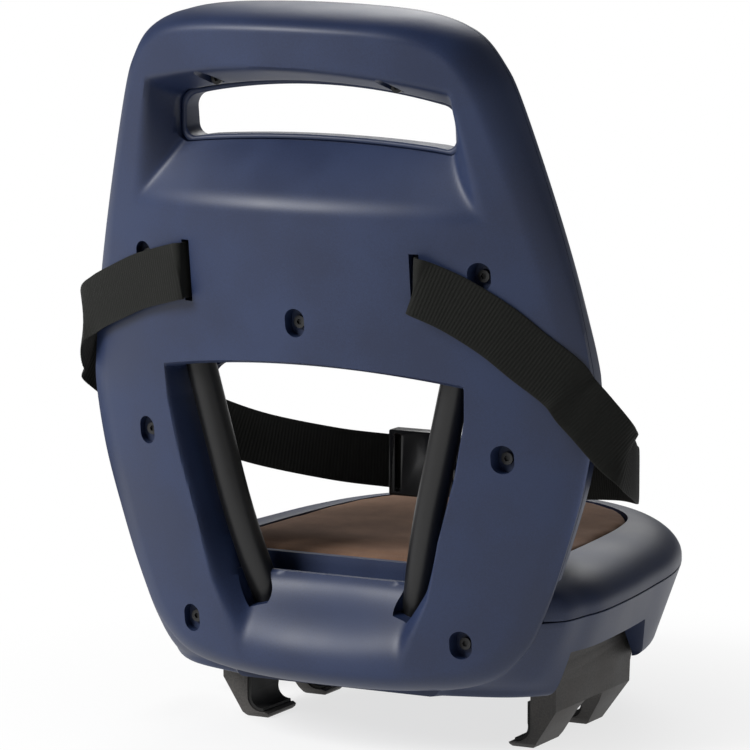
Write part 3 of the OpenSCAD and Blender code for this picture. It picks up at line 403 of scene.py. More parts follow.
# The form over a grid that fits the outline, from its top down to the height low
def fittedSurface(name, form, low, columns, rows):
    bpy.ops.mesh.primitive_grid_add(x_subdivisions=columns, y_subdivisions=rows, size=2)
    piece = bpy.context.object
    piece.name = name
    piece.data.name = name
    grid = np.array([v.co for v in piece.data.vertices])
    u = np.interp(grid[:, 0], np.linspace(-1, 1, columns + 1),
                  closeToEnds(columns + 1, b["columnCrowd"]))
    v = 0.5 - 0.5 * np.interp(grid[:, 1], np.linspace(-1, 1, rows + 1),
                              closeToEnds(rows + 1, b["rowCrowd"]))
    zSide = mix(corner[1], low, v)
    sidePart = outlineHalf[heelAt:cornerAt - 1:-1]
    width = np.interp(zSide, sidePart[:, 1], sidePart[:, 0])
    topPart, footPart = outlineHalf[:cornerAt + 1], outlineHalf[:heelAt - 1:-1]
    x = u * width
    # columns of the grid run along the opening's edge and along the ridge beside it
    t, hole, crest = abs(u), holeSide(zSide), ridge(zSide)
    atHole, atCrest = b["holeColumn"], b["crestColumn"]
    follows = np.where(t < atHole, t / atHole * hole, np.where(
        t < atCrest, mix(hole, crest, (t - atHole) / (atCrest - atHole)),
        mix(crest, width, (t - atCrest) / (1 - atCrest))))
    near = (smoothStep((zSide - b["followFrom"]) / b["followIn"])
            * smoothStep((b["followTo"] - zSide) / b["followOut"]))
    x = np.sign(u) * mix(abs(x), follows, near)
    topRise = np.interp(abs(u) * corner[0], topPart[:, 0], topPart[:, 1]) - corner[1]
    z = zSide + (1 - v) * topRise
    if low == heel[1]:
        z += v * (np.interp(abs(u) * heel[0], footPart[:, 0], footPart[:, 1]) - heel[1])
    # rows bend along the arch of the opening
    arch = b["openHigh"] - openTop(np.clip(x, -b["rowBendX"], b["rowBendX"]))
    z -= arch * np.exp(-((z - b["openHigh"]) / b["rowBend"]) ** 2)
    y = form(x, z)
    for vertex, place in zip(piece.data.vertices, np.stack([x, y, z], axis=1) * mm):
        vertex.co = place
    return piece


# Closes a fitted surface: its rim runs straight to the plane y = level
def closeTo(piece, level):
    activate(piece)
    bpy.ops.object.mode_set(mode="EDIT")
    bpy.ops.mesh.select_all(action="DESELECT")
    bpy.ops.mesh.select_non_manifold()
    bpy.ops.mesh.extrude_region_move()
    mesh = bmesh.from_edit_mesh(piece.data)
    for vertex in mesh.verts:
        if vertex.select:
            vertex.co.y = level * mm
    bmesh.update_edit_mesh(piece.data)
    bpy.ops.mesh.edge_face_add()
    bpy.ops.object.mode_set(mode="OBJECT")
    fixNormals(piece)


rear = fittedSurface("rearShell", rearForm, heel[1], b["columns"], b["rows"])
closeTo(rear, b["rearClose"])
print("rear surface", len(rear.data.polygons))


# All that lies behind the parting line, less a gap
def behindSeam(name, gap):
    far, low, top = 400, -20, b["top"] + 40
    y0, y1 = b["seamY"] - gap, float(seam(top)) - gap
    profile = [(-far, low), (y0, low), (y0, b["waist"]), (y1, top), (-far, top)]
    return loft(name, [[(x, y, z) for y, z in profile] for x in (-far, far)])


# Screw pockets, belt slots and the bores of the tube

fittings = {
    "screws": [(0, 279), (116.3, 312), (-116.3, 312), (124.2, 199), (-124.2, 199),
               (94.5, 81), (-94.5, 81), (62, 424.5), (-62, 424.5)],
    "pocketWidth": 13.3, "pocketHeight": 17.8, "pocketDepth": 9,
    "handlePocket": 0.7, "handleFrom": 400,        # pockets above the grip are smaller
    "pocketBehind": -268, "pocketPoints": 19,
    "slotX": 79, "slotZ": 306, "slotWidth": 6, "slotHeight": 38.5, "slotAhead": -152,
    "heelY": -75, "heelRadius": 45, "heelTurn": 72, "longRadius": 300, "longTurn": 14.7,
    "tubeTop": 290, "boreFoot": 92, "borePlay": 0.4, "borePoints": 40,
}
f = fittings


def pocketOutline(x, z, size):
    r = size * f["pocketWidth"] / 2
    lift = size * (f["pocketHeight"] - f["pocketWidth"]) / 2
    ends = []
    for start, rise in ((0, lift), (180, -lift)):
        ends += [(x + r * math.cos(a), z + rise + r * math.sin(a))
                 for a in np.radians(np.linspace(start, start + 180, f["pocketPoints"]))]
    return ends


# Way of the tube's upright in its own leaning plane: heel bend, long bend, straight top
lean = math.radians(b["tubeLean"])
turned, full = math.radians(f["heelTurn"]), math.radians(f["heelTurn"] + f["longTurn"])
heelEnd = np.array([f["heelY"] - f["heelRadius"] * math.sin(turned),
                    f["heelRadius"] * (1 - math.cos(turned))])
middle = heelEnd + f["longRadius"] * np.array([math.sin(turned), math.cos(turned)])
upperFoot = middle - f["longRadius"] * np.array([math.sin(full), math.cos(full)])


def tubeAxis(height):
    rise = (height - b["legZ"]) / math.cos(lean) - upperFoot[1]
    y = upperFoot[0] - rise * math.tan(math.pi / 2 - full)
    z = upperFoot[1] + rise
    return Vector((b["legX"] + z * math.sin(lean), y, b["legZ"] + z * math.cos(lean)))


def tubeBore(name, side, low, high, radius):
    a, c = tubeAxis(low), tubeAxis(high)
    direction = (c - a).normalized()
    aside = direction.cross(Vector((0, 1, 0))).normalized()
    ahead = direction.cross(aside)
    rows = []
    for end in (a, c):
        points = (end + radius * (math.cos(t) * aside + math.sin(t) * ahead)
                  for t in np.linspace(0, 2 * math.pi, f["borePoints"], endpoint=False))
        rows.append([(side * p.x, p.y, p.z) for p in points])
    return loft(name, rows)


cut(rear, [behindSeam("seamCut", b["rearGap"])], keep="INTERSECT")

# Base of the seat, moulded in one with the rear shell

seat = {
    "rim": 95, "top": 120, "halfWidth": 156, "front": 199, "cushionHalf": 117,
    "taper": 17, "base": 43, "lip": 99, "perPiece": 9,
    "rearEnd": -124, "panEnd": -116, "panRear": -98, "panNotch": 72,
    "cushionBack": 33, "trayRear": -94, "trayFloor": 111, "trayTop": 160, "trayDraw": 1.5,
    # height and inset of the rows at the base's foot
    "footRows": [(43, 6), (43.3, 4.2), (44, 2.7), (45.2, 1.3), (46.8, 0.4), (48.5, 0)],
    "sideFrom": 52, "sideTo": 94.2, "sideRows": 12, "rimRow": (94.65, 0.35),
    # angle, height and inset of the rows at the pan's rim
    "rimRows": [(0, 95.35, 0.35), (0, 95.7, 0), (0, 97.2, 0)], "panRows": 16,
}
s = seat

backLow = [p for p in outlineHalf[::-1] if p[1] < 238]
backLowX, backLowZ = [p[0] for p in backLow], [p[1] for p in backLow]


def footX(z):
    return float(np.interp(max(z, b["foot"] + 4), backLowZ, backLowX))


# Half of the seat's plan, from the middle of its front to the corner under the backrest
def planLine(w, front, rear, end, k=1.0):
    return [(0, front), (48 * k, front - 10), (90 * k, front - 35), (124 * k, front - 76),
            (142 * k, mix(front - 124, 76, 0.5)), (150.5 * k, 18), (154.5 * k, -24),
            (w, -62), (w - 3, -84), (mix(rear, w, 0.62), -104), (rear, end)]


def basePlan(z, inset):
    drawIn = s["taper"] * (s["rim"] - z) / (s["rim"] - s["base"])
    w, front = s["halfWidth"] - drawIn - inset, s["front"] - drawIn - inset
    r, end = footX(z) - inset, s["rearEnd"]
    line = planLine(w, front, r, max(b["seamY"], end), w / s["halfWidth"])
    return bothSides(list(curveThrough(line, s["perPiece"])) + [(r - 5, end), (0, end)])


baseSide = [(z, 0) for z in np.linspace(s["sideFrom"], s["sideTo"], s["sideRows"])]
baseRows = s["footRows"] + baseSide + [s["rimRow"]]
base = loft("base", [[(x, y, z) for x, y in basePlan(z, inset)] for z, inset in baseRows])
cut(rear, [base], keep="UNION")
print("base joined", len(rear.data.polygons))


# Bay for a bracket under the base: an outer part open to the side, and an inner room
bay = {
    "outerX": (103.4, 400), "outer": [(-88, 20), (-88, 72), (28, 72), (47, 46), (47, 20)],
    "innerZ": (20, 72), "inner": [(68, -61), (124, -61), (124, 61), (68, 61)],
}


def bracketBay(side):
    wide = loft("bay", [[(side * x, y, z) for y, z in bay["outer"]] for x in bay["outerX"]])
    inner = loft("bayIn", [[(side * x, y, z) for x, y in bay["inner"]] for z in bay["innerZ"]])
    cut(wide, [inner], keep="UNION")
    return wide


holes = [along("gripHole", gripOutline(b["rearGrow"]), b["behind"], b["ahead"]),
         along("backOpening", openOutline(), b["behind"], b["throughPanel"])]
for x, z in f["screws"]:
    size = f["handlePocket"] if z > f["handleFrom"] else 1
    holes.append(along("pocket", pocketOutline(x, z, size), f["pocketBehind"],
                       formAt(rearForm, x, z) + f["pocketDepth"]))
for side in (-1, 1):
    x, z, w, h = side * f["slotX"], f["slotZ"], f["slotWidth"] / 2, f["slotHeight"] / 2
    slot = [(x - w, z - h), (x + w, z - h), (x + w, z + h), (x - w, z + h)]
    holes.append(along("slot", slot, b["behind"], f["slotAhead"]))
cut(rear, holes)
cut(rear, [bracketBay(-1), bracketBay(1)])
boreRadius = b["tubeD"] / 2 + f["borePlay"]
cut(rear, [tubeBore("bore", side, f["boreFoot"], f["tubeTop"], boreRadius) for side in (-1, 1)])
smoothByAngle(rear, softAngle)
print("rear shell", len(rear.data.polygons))


# Front shell

front = fittedSurface("frontShell", frontForm, b["frontLow"], b["frontColumns"], b["frontRows"])
closeTo(front, b["frontClose"])
cut(front, [behindSeam("seamCut", b["frontGap"])])
frontHoles = [along("gripHole", gripOutline(b["frontGrow"]), b["behind"], b["ahead"]),
              along("backOpening", openOutline(), b["behind"], b["ahead"])]
cut(front, [joined("holes", frontHoles)])


# Collar of the grip hole, with rounded ends at the recess and in front

bead = {
    "radius": 1.6, "steps": 6,
    # depth and growth of the rows that run under the shells' faces
    "rearRows": [(0.7, 2.95), (0.15, 2.8), (0, 2.5)],
    "frontRows": [(0, 2.5), (0, 2.9), (-0.2, 2.95)],
}


def collarRow(depth, grow, level):
    return [(x, level(x, z) + depth, z) for x, z in gripOutline(grow)]


def rearLevel(x, z):
    return b["gripY"]


def frontLevel(x, z):
    return formAt(frontForm, x, z)


r = bead["radius"]
quarter = np.radians(np.linspace(0, 90, bead["steps"]))
rows = [collarRow(depth, grow, rearLevel) for depth, grow in bead["rearRows"]]
rows += [collarRow(r - r * math.cos(a), r - r * math.sin(a), rearLevel) for a in quarter]
rows += [collarRow(-r + r * math.sin(a), r - r * math.cos(a), frontLevel) for a in quarter]
rows += [collarRow(depth, grow, frontLevel) for depth, grow in bead["frontRows"]]
rows.append(rows[0])
collar = loft("collar", rows, endsOpen=True)
front = joined("frontShell", [front, collar])
smoothByAngle(front, softAngle)
print("front shell", len(front.data.polygons))


# Seat pan: it rises from the rim in a quarter round to the edge of the cushion

def panHalf(line):
    notch = [(s["panNotch"], s["panEnd"]), (s["panNotch"], s["panRear"]), (0, s["panRear"])]
    return np.array(list(curveThrough(line, s["perPiece"])) + notch)


# Half of the cushion's edge, from the middle of its front to the back of the pan
def cushionLine(w, front):
    return [(0, front), (40, front - 7), (72, front - 27), (93, front - 55), (w - 14, 72),
            (w - 8.5, 18), (w - 6, -24), (w - 2.5, -62), (w - 0.5, -84), (w, -104),
            (w, s["panEnd"])]


panLow = panHalf(planLine(s["halfWidth"], s["front"], footX(s["rim"]), s["panEnd"]))
panHigh = panHalf(cushionLine(s["cushionHalf"], s["front"] - s["cushionBack"]))


def panRow(angle, z, inset=0.0):
    t = 1 - math.cos(math.radians(angle))
    half = panLow + (panHigh - panLow) * t
    half[:, 0] = np.maximum(0, half[:, 0] - inset * np.sign(half[:, 0]))
    return [(x, y, z) for x, y in bothSides(half)]


panRows = [panRow(*row) for row in s["rimRows"]] + [panRow(0, s["lip"])]
for angle in np.linspace(5, 90, s["panRows"]):
    rise = (s["top"] - s["lip"]) * math.sin(math.radians(angle))
    panRows.append(panRow(angle, s["lip"] + rise))
pan = loft("seatPan", panRows)


# Outline of the tray for the cushion, drawn in by d
def trayLine(d):
    half = panHigh[panHigh[:, 1] > s["trayRear"]]
    heading = np.gradient(half, axis=0)
    heading /= np.hypot(heading[:, 0], heading[:, 1])[:, None]
    half = half + d * np.stack([heading[:, 1], -heading[:, 0]], axis=1)
    half[0, 0] = 0
    half[:, 1] = np.maximum(half[:, 1], d + s["trayRear"])
    return bothSides([tuple(point) for point in half] + [(0, d + s["trayRear"])])


def trayRow(d, z):
    return [(x, y, z) for x, y in trayLine(d)]


cut(pan, [loft("tray", [trayRow(s["trayDraw"], z) for z in (s["trayFloor"], s["trayTop"])])])
smoothByAngle(pan, softAngle)
print("seat pan", len(pan.data.polygons))


# Cushion: a soft pad pressed into the tray of the pan, swelled by a cloth run

cushion = {
    "low": 111.3, "edge": 117.2, "crown": 120.6, "gap": 1.7, "round": 5, "foot": 0.8,
    "voxel": 0.005,                                # metres
    "pressure": 4, "frames": 20,
    "cap": 0.0016, "sideShare": 0.15,              # most swelling in metres, and sideways
    "topFrom": 116, "topOver": 4,
    "dish": 2.2, "dishX": 78, "dishY": 62, "dishAt": -18,
    "groove": 0.3, "grooveIn": 13, "grooveWide": 2.2, "edgeEvery": 4,
}
c = cushion

cushionRows = [trayRow(c["gap"] + c["foot"], c["low"]), trayRow(c["gap"], c["low"] + c["foot"]),
               trayRow(c["gap"], c["edge"])]
for angle in np.radians(np.linspace(15, 90, 6)):
    cushionRows.append(trayRow(c["gap"] + c["round"] * (1 - math.cos(angle)),
                               c["edge"] + (c["crown"] - c["edge"]) * math.sin(angle)))
pad = loft("cushion", cushionRows)
addModifier(pad, "REMESH", mode="VOXEL", voxel_size=c["voxel"])

before = np.array([v.co for v in pad.data.vertices])
cloth = pad.modifiers.new("cloth", "CLOTH")
cloth.settings.use_pressure = True
cloth.settings.uniform_pressure_force = c["pressure"]
cloth.settings.effector_weights.gravity = 0
for frameNumber in range(1, c["frames"] + 1):
    bpy.context.scene.frame_set(frameNumber)
activate(pad)
bpy.ops.object.modifier_apply(modifier=cloth.name)
bpy.context.scene.frame_set(1)
shift = np.array([v.co for v in pad.data.vertices]) - before
length = np.linalg.norm(shift, axis=1)[:, None]
shift *= np.minimum(1, c["cap"] / np.maximum(length, 1e-9))
after = before + shift
after[:, :2] = before[:, :2] + c["sideShare"] * shift[:, :2]
for vertex, place in zip(pad.data.vertices, after):
    vertex.co = place
addModifier(pad, "SUBSURF", levels=1, render_levels=1)

# a shallow dish where a child sits, and the line of a seam inside the edge
edgeLine = np.array(trayLine(c["gap"]))[::c["edgeEvery"]]
place = np.array([v.co for v in pad.data.vertices]) / mm
onTop = smoothStep((place[:, 2] - c["topFrom"]) / c["topOver"])
fromEdge = outlineDistance(place[:, 0], place[:, 1], edgeLine)
dish = np.exp(-((place[:, 0] / c["dishX"]) ** 2
                + ((place[:, 1] - c["dishAt"]) / c["dishY"]) ** 2))
groove = np.exp(-((fromEdge - c["grooveIn"]) / c["grooveWide"]) ** 2)
place[:, 2] -= onTop * (c["dish"] * dish + c["groove"] * groove)
for vertex, point in zip(pad.data.vertices, place * mm):
    vertex.co = point
activate(pad)
bpy.ops.object.shade_smooth()
print("cushion", len(pad.data.polygons))


# Bent tube of the frame: a hoop, as rings of a centre and two directions

hoop = {"wall": 1.5, "front": 58, "round": 48, "topSteps": 6, "longSteps": 6, "bendSteps": 18}
upwards = np.array([math.sin(lean), 0, math.cos(lean)])
sideways = np.array([math.cos(lean), 0, -math.sin(lean)])
ahead = np.array([0, 1, 0])
foot = np.array([b["legX"], 0, b["legZ"]])
upperLength = ((f["tubeTop"] - b["legZ"]) / math.cos(lean) - upperFoot[1]) / math.sin(full)
tubeHalf = []


def addRing(y, h, angle):
    tubeHalf.append([foot + y * ahead + h * upwards, sideways,
                     -math.cos(angle) * upwards - math.sin(angle) * ahead])


for t in np.linspace(1, 0, hoop["topSteps"], endpoint=False):
    addRing(upperFoot[0] - t * upperLength * math.cos(full),
            upperFoot[1] + t * upperLength * math.sin(full), full)
for a in np.linspace(full, turned, hoop["longSteps"], endpoint=False):
    addRing(middle[0] - f["longRadius"] * math.sin(a),
            middle[1] - f["longRadius"] * math.cos(a), a)
for a in np.linspace(turned, 0, hoop["bendSteps"]):
    addRing(f["heelY"] - f["heelRadius"] * math.sin(a), f["heelRadius"] * (1 - math.cos(a)), a)
for a in np.radians(np.linspace(0, 90, hoop["bendSteps"])):
    centre = [b["legX"] * math.cos(a), hoop["front"] + b["legX"] * math.sin(a), b["legZ"]]
    tubeHalf.append([np.array(centre), np.array([math.cos(a), math.sin(a), 0]),
                     np.array([0, 0, -1])])
tubeRings = tubeHalf + [[v * np.array([-1, 1, 1]) for v in ring] for ring in tubeHalf[-2::-1]]


def tubeRows(radius):
    return [[centre + radius * (math.cos(t) * a + math.sin(t) * e)
             for t in np.linspace(0, 2 * math.pi, hoop["round"], endpoint=False)]
            for centre, a, e in tubeRings]


outer = tubeRows(b["tubeD"] / 2)
inner = tubeRows(b["tubeD"] / 2 - hoop["wall"])
tube = loft("frameTube", outer + inner[::-1] + [outer[0]], endsOpen=True)
smoothByAngle(tube, 40)
print("tube", len(tube.data.polygons))


# Lap belt: woven webbing with a rib across it every few threads

belt = {
    "width": 35, "thick": 1.8, "rib": 2.2, "ribHeight": 0.32, "step": 0.55, "perPiece": 14,
    "loopX": 77, "loopRadius": 3.5, "loopIn": 12, "entry": (80.7, -173),
    "corners": 30, "flatness": 0.55, "fullness": 0.45,     # powers that square up its section
    "left": [(-83.4, -176.8, 305.5), (-100, -170, 301), (-120, -160.5, 295),
             (-142, -149.5, 286), (-165, -136, 276), (-181, -124, 265), (-187, -108, 243),
             (-187, -98, 233), (-179, -65, 212), (-155, -30, 190), (-120, -10, 175),
             (-70, 0, 167), (-34, 3, 165), (-14, 3, 165)],
    "right": [(83.4, -176.8, 305.5), (103, -168, 296), (126, -156.5, 280), (143, -146.5, 264),
              (160, -135.5, 248), (167, -129, 236), (175, -122, 224), (186, -110, 205),
              (188, -100, 195), (184, -80, 186), (169, -46, 178), (140, -15, 173),
              (90, 2, 167), (44, 3, 165), (20, 3, 165)],
}
loopY = float(rearFace(np.array(float(f["slotX"])), np.array(float(f["slotZ"])))) + belt["loopIn"]


# Even steps along the middle of the strap: round its pin, through the slot, to the buckle
def beltWay(side):
    sign, r, z = -1 if side == "left" else 1, belt["loopRadius"], f["slotZ"]
    loop = [(sign * (belt["loopX"] + r * math.cos(a)), loopY + r * math.sin(a), z)
            for a in np.radians(np.arange(215, 0, -12))]
    entry = (sign * belt["entry"][0], belt["entry"][1], z)
    way = curveThrough(loop + [entry] + belt[side], belt["perPiece"])
    gone = np.concatenate([[0], np.cumsum(np.linalg.norm(np.diff(way, axis=0), axis=1))])
    places = np.arange(0, gone[-1], belt["step"])
    return np.stack([np.interp(places, gone, way[:, k]) for k in range(3)], axis=1), places


def webbing(name, side):
    way, places = beltWay(side)
    heading = np.gradient(way, axis=0)
    heading /= np.linalg.norm(heading, axis=1)[:, None]
    up = np.array([0, 0, 1]) - heading[:, 2:3] * heading
    up /= np.linalg.norm(up, axis=1)[:, None]
    out = np.cross(heading, up)
    corners = np.linspace(0, 2 * math.pi, belt["corners"], endpoint=False)
    w = (belt["width"] / 2 * np.sign(np.cos(corners))
         * abs(np.cos(corners)) ** belt["flatness"])
    o = np.sign(np.sin(corners)) * abs(np.sin(corners)) ** belt["fullness"]
    rows = []
    for k in range(len(way)):
        wave = 0.5 - 0.5 * math.cos(2 * math.pi * places[k] / belt["rib"])
        ribbed = belt["thick"] / 2 - belt["ribHeight"] * wave
        rows.append([way[k] + w[i] * up[k] + o[i] * ribbed * out[k]
                     for i in range(len(corners))])
    piece = loft(name, rows, uvAt=lambda i, j: (places[j] * mm, w[i] * mm))
    activate(piece)
    bpy.ops.object.shade_smooth()
    return piece


beltLeft = webbing("beltLeft", "left")
beltRight = webbing("beltRight", "right")
print("belts", len(beltLeft.data.polygons), len(beltRight.data.polygons))


# Pieces that keep the solid's shape and get softened edges

def softened(node, name, width, degrees=30, segments=3):
    piece = cadCopy(node, name, dissolve=1)
    addModifier(piece, "BEVEL", width=width * mm, segments=segments, limit_method="ANGLE",
                angle_limit=math.radians(degrees), use_clamp_overlap=True, miter_outer="MITER_ARC")
    smoothByAngle(piece, 40)
    return piece


# solid -> name of the piece, width of its edges in mm, body
rounded = {
    "buckle_socket": ("buckleSocket", 1.6, "seat"),
    "buckle_plug": ("bucklePlug", 1.2, "seat"),
    "bracket_left": ("bracketLeft", 0.8, "left_bracket"),
    "bracket_right": ("bracketRight", 0.8, "right_bracket"),
    "knob": ("knob", 0.7, "knob_and_spindle"),
    "tube_saddles": ("tubeSaddles", 0.5, "seat"),
}
soft = {}
for node, (name, width, body) in rounded.items():
    soft[node] = softened(node, name, width)
    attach(soft[node], body)
    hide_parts(node)
print("softened", list(soft))

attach(rear, "seat")
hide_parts("rear_shell")
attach(front, "seat")
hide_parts("front_shell")
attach(pan, "seat")
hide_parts("seat_pan")
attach(pad, "seat")
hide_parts("seat_cushion")
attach(tube, "seat")
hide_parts("frame_tube")
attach(beltLeft, "seat")
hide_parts("belt_left")
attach(beltRight, "seat")
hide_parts("belt_right")


# Materials

def linearColour(code):
    values = [int(code[i:i + 2], 16) / 255 for i in (1, 3, 5)]
    return [v / 12.92 if v <= 0.04045 else ((v + 0.055) / 1.055) ** 2.4 for v in values] + [1]


def addNode(tree, kind, settings=None, values=None, links=None):
    node = tree.nodes.new(kind)
    for key, value in (settings or {}).items():
        setattr(node, key, value)
    for key, value in (values or {}).items():
        node.inputs[key].default_value = value
    for key, source in (links or {}).items():
        tree.links.new(source, node.inputs[key])
    return node


def newMaterial(name):
    material = bpy.data.materials.new(name)
    material.use_nodes = True
    material.node_tree.nodes.clear()
    return material, material.node_tree


def finishMaterial(tree, shader):
    output = addNode(tree, "ShaderNodeOutputMaterial")
    tree.links.new(shader.outputs[0], output.inputs["Surface"])


def perMetre(width):
    return 1 / (width * mm)


# In a colour mix the sockets 6 and 7 are the two colours, and output 2 is the result
mixKind = {"data_type": "RGBA"}
clamped = {"operation": "ADD", "use_clamp": True}


# Moulded plastic: a spark-eroded grain breaks up the gloss, and broad clouds vary it
def mouldedPlastic(name, look):
    material, tree = newMaterial(name)
    where = addNode(tree, "ShaderNodeTexCoord").outputs["Object"]
    grain = addNode(tree, "ShaderNodeTexNoise", links={"Vector": where}, values={
        "Scale": perMetre(look["grain"]), "Detail": 3.0, "Roughness": 0.6})
    cloud = addNode(tree, "ShaderNodeTexNoise", links={"Vector": where}, values={
        "Scale": perMetre(look["cloud"]), "Detail": 2.0})
    share = addNode(tree, "ShaderNodeMapRange", links={"Value": cloud.outputs[0]}, values={
        "From Min": 0.35, "From Max": 0.65})
    speck = addNode(tree, "ShaderNodeMapRange", links={"Value": grain.outputs[0]}, values={
        "From Min": 0.3, "From Max": 0.7, "To Min": -look["speckle"], "To Max": look["speckle"]})
    mixed = addNode(tree, "ShaderNodeMath", settings=clamped,
                    links={0: share.outputs[0], 1: speck.outputs[0]})
    tone = addNode(tree, "ShaderNodeMix", settings=mixKind, links={0: mixed.outputs[0]}, values={
        6: linearColour(look["dark"]), 7: linearColour(look["light"])})
    rough = addNode(tree, "ShaderNodeMapRange", links={"Value": cloud.outputs[0]}, values={
        "From Min": 0.3, "From Max": 0.7,
        "To Min": look["rough"] - 0.05, "To Max": look["rough"] + 0.05})
    bump = addNode(tree, "ShaderNodeBump", links={"Height": grain.outputs[0]}, values={
        "Strength": look["bump"], "Distance": look["depth"] * mm})
    shader = addNode(tree, "ShaderNodeBsdfPrincipled", values={"IOR": look["ior"]}, links={
        "Base Color": tone.outputs[2], "Roughness": rough.outputs[0], "Normal": bump.outputs[0]})
    finishMaterial(tree, shader)
    return material


# Polypropylene, moulded with a fine matt grain: soft wide highlights, never a mirror
# The real grain of 0.3 mm is drawn at 0.9 mm so that it shows
navyPlastic = mouldedPlastic("mouldedPolypropylene", {
    "dark": "#16223f", "light": "#1d2b4b", "grain": 0.9, "cloud": 60, "speckle": 0.5,
    "rough": 0.5, "bump": 0.35, "depth": 0.12, "ior": 1.49})
# Glass-filled nylon: coarse and dull, with pale fibre specks
greyPlastic = mouldedPlastic("glassFilledNylon", {
    "dark": "#2f2d2b", "light": "#474441", "grain": 1.3, "cloud": 25, "speckle": 0.6,
    "rough": 0.62, "bump": 0.5, "depth": 0.25, "ior": 1.53})
# Acetal, moulded smooth: a faint satin gloss
blackPlastic = mouldedPlastic("mouldedAcetal", {
    "dark": "#131314", "light": "#1d1d1f", "grain": 1.2, "cloud": 20, "speckle": 0.2,
    "rough": 0.33, "bump": 0.12, "depth": 0.08, "ior": 1.48})
# Moulded rubber: dull, with a slight bloom
rubber = mouldedPlastic("mouldedRubber", {
    "dark": "#111111", "light": "#1f1f1e", "grain": 0.8, "cloud": 9, "speckle": 0.3,
    "rough": 0.8, "bump": 0.25, "depth": 0.1, "ior": 1.52})


# Steel: the mill's or the bath's fine unevenness under a metal or paint surface
def coatedSteel(name, look):
    material, tree = newMaterial(name)
    where = addNode(tree, "ShaderNodeTexCoord").outputs["Object"]
    orange = addNode(tree, "ShaderNodeTexNoise", links={"Vector": where}, values={
        "Scale": perMetre(look["peel"]), "Detail": 2.0})
    tone = addNode(tree, "ShaderNodeMix", settings=mixKind, links={0: orange.outputs[0]}, values={
        6: linearColour(look["dark"]), 7: linearColour(look["light"])})
    rough = addNode(tree, "ShaderNodeMapRange", links={"Value": orange.outputs[0]}, values={
        "To Min": look["rough"] - 0.06, "To Max": look["rough"] + 0.06})
    bump = addNode(tree, "ShaderNodeBump", links={"Height": orange.outputs[0]}, values={
        "Strength": look["bump"], "Distance": 0.05 * mm})
    values = {"Metallic": look["metal"]}
    if look["metal"] == 0:
        values["IOR"] = 1.5
    shader = addNode(tree, "ShaderNodeBsdfPrincipled", values=values, links={
        "Base Color": tone.outputs[2], "Roughness": rough.outputs[0], "Normal": bump.outputs[0]})
    finishMaterial(tree, shader)
    return material


# Powder-coated steel: satin black with a slight orange peel and one soft long highlight
blackSteel = coatedSteel("powderCoatedSteel", {
    "dark": "#070708", "light": "#0b0b0c", "peel": 1.5, "rough": 0.4, "bump": 0.15, "metal": 0.0})
# Blackened steel: dull black with a faint oily gloss
darkSteel = coatedSteel("blackenedSteel", {
    "dark": "#101011", "light": "#1b1b1c", "peel": 2, "rough": 0.45, "bump": 0.1, "metal": 0.0})
# Zinc-plated steel: bright, slightly milky
zincSteel = coatedSteel("zincPlatedSteel", {
    "dark": "#93969a", "light": "#b4b6b8", "peel": 3, "rough": 0.3, "bump": 0.1, "metal": 1.0})


# Suede-like covering: a short nap gives a soft sheen and brushed lighter and darker fields
suede = {"dark": "#563b2b", "light": "#8a6a53", "nap": 0.7, "field": 22, "rough": 0.92,
         "specular": 0.2, "sheen": 0.1, "sheenRough": 0.4, "bump": 0.5, "depth": 0.25}
cushionSkin, tree = newMaterial("brushedSuede")
where = addNode(tree, "ShaderNodeTexCoord").outputs["Object"]
nap = addNode(tree, "ShaderNodeTexNoise", links={"Vector": where}, values={
    "Scale": perMetre(suede["nap"]), "Detail": 4.0, "Roughness": 0.7})
field = addNode(tree, "ShaderNodeTexNoise", links={"Vector": where}, values={
    "Scale": perMetre(suede["field"]), "Detail": 3.0})
fieldShare = addNode(tree, "ShaderNodeMapRange", links={"Value": field.outputs[0]}, values={
    "From Min": 0.35, "From Max": 0.65, "To Min": 0.38, "To Max": 0.68})
napShare = addNode(tree, "ShaderNodeMapRange", links={"Value": nap.outputs[0]}, values={
    "From Min": 0.3, "From Max": 0.7, "To Min": -0.25, "To Max": 0.25})
share = addNode(tree, "ShaderNodeMath", settings=clamped,
                links={0: fieldShare.outputs[0], 1: napShare.outputs[0]})
tone = addNode(tree, "ShaderNodeMix", settings=mixKind, links={0: share.outputs[0]}, values={
    6: linearColour(suede["dark"]), 7: linearColour(suede["light"])})
bump = addNode(tree, "ShaderNodeBump", links={"Height": nap.outputs[0]}, values={
    "Strength": suede["bump"], "Distance": suede["depth"] * mm})
shader = addNode(
    tree, "ShaderNodeBsdfPrincipled",
    values={"Roughness": suede["rough"], "Specular IOR Level": suede["specular"],
            "Sheen Weight": suede["sheen"], "Sheen Roughness": suede["sheenRough"]},
    links={"Base Color": tone.outputs[2], "Normal": bump.outputs[0]})
finishMaterial(tree, shader)

# Polyester webbing: plain weave, with its threads drawn along the belt's own map; their tone is
# painted light, lighter on the raised threads as painted highlight and darker between them as
# painted shade
weave = {"dark": "#040503", "light": "#131410", "thread": 0.55, "rough": 0.75,
         "specular": 0.22, "sheen": 0.04, "sheenRough": 0.5, "bump": 0.6, "depth": 0.2}
webbingSkin, tree = newMaterial("wovenPolyester")
onBelt = addNode(tree, "ShaderNodeTexCoord").outputs["UV"]
split = addNode(tree, "ShaderNodeSeparateXYZ", links={"Vector": onBelt})
product = {"operation": "MULTIPLY"}
waves = []
for axis in ("X", "Y"):
    scaled = addNode(tree, "ShaderNodeMath", settings=product, links={0: split.outputs[axis]},
                     values={1: 2 * math.pi * perMetre(weave["thread"] * 2)})
    waves.append(addNode(tree, "ShaderNodeMath", settings={"operation": "SINE"},
                         links={0: scaled.outputs[0]}))
crossed = addNode(tree, "ShaderNodeMath", settings=product,
                  links={0: waves[0].outputs[0], 1: waves[1].outputs[0]})
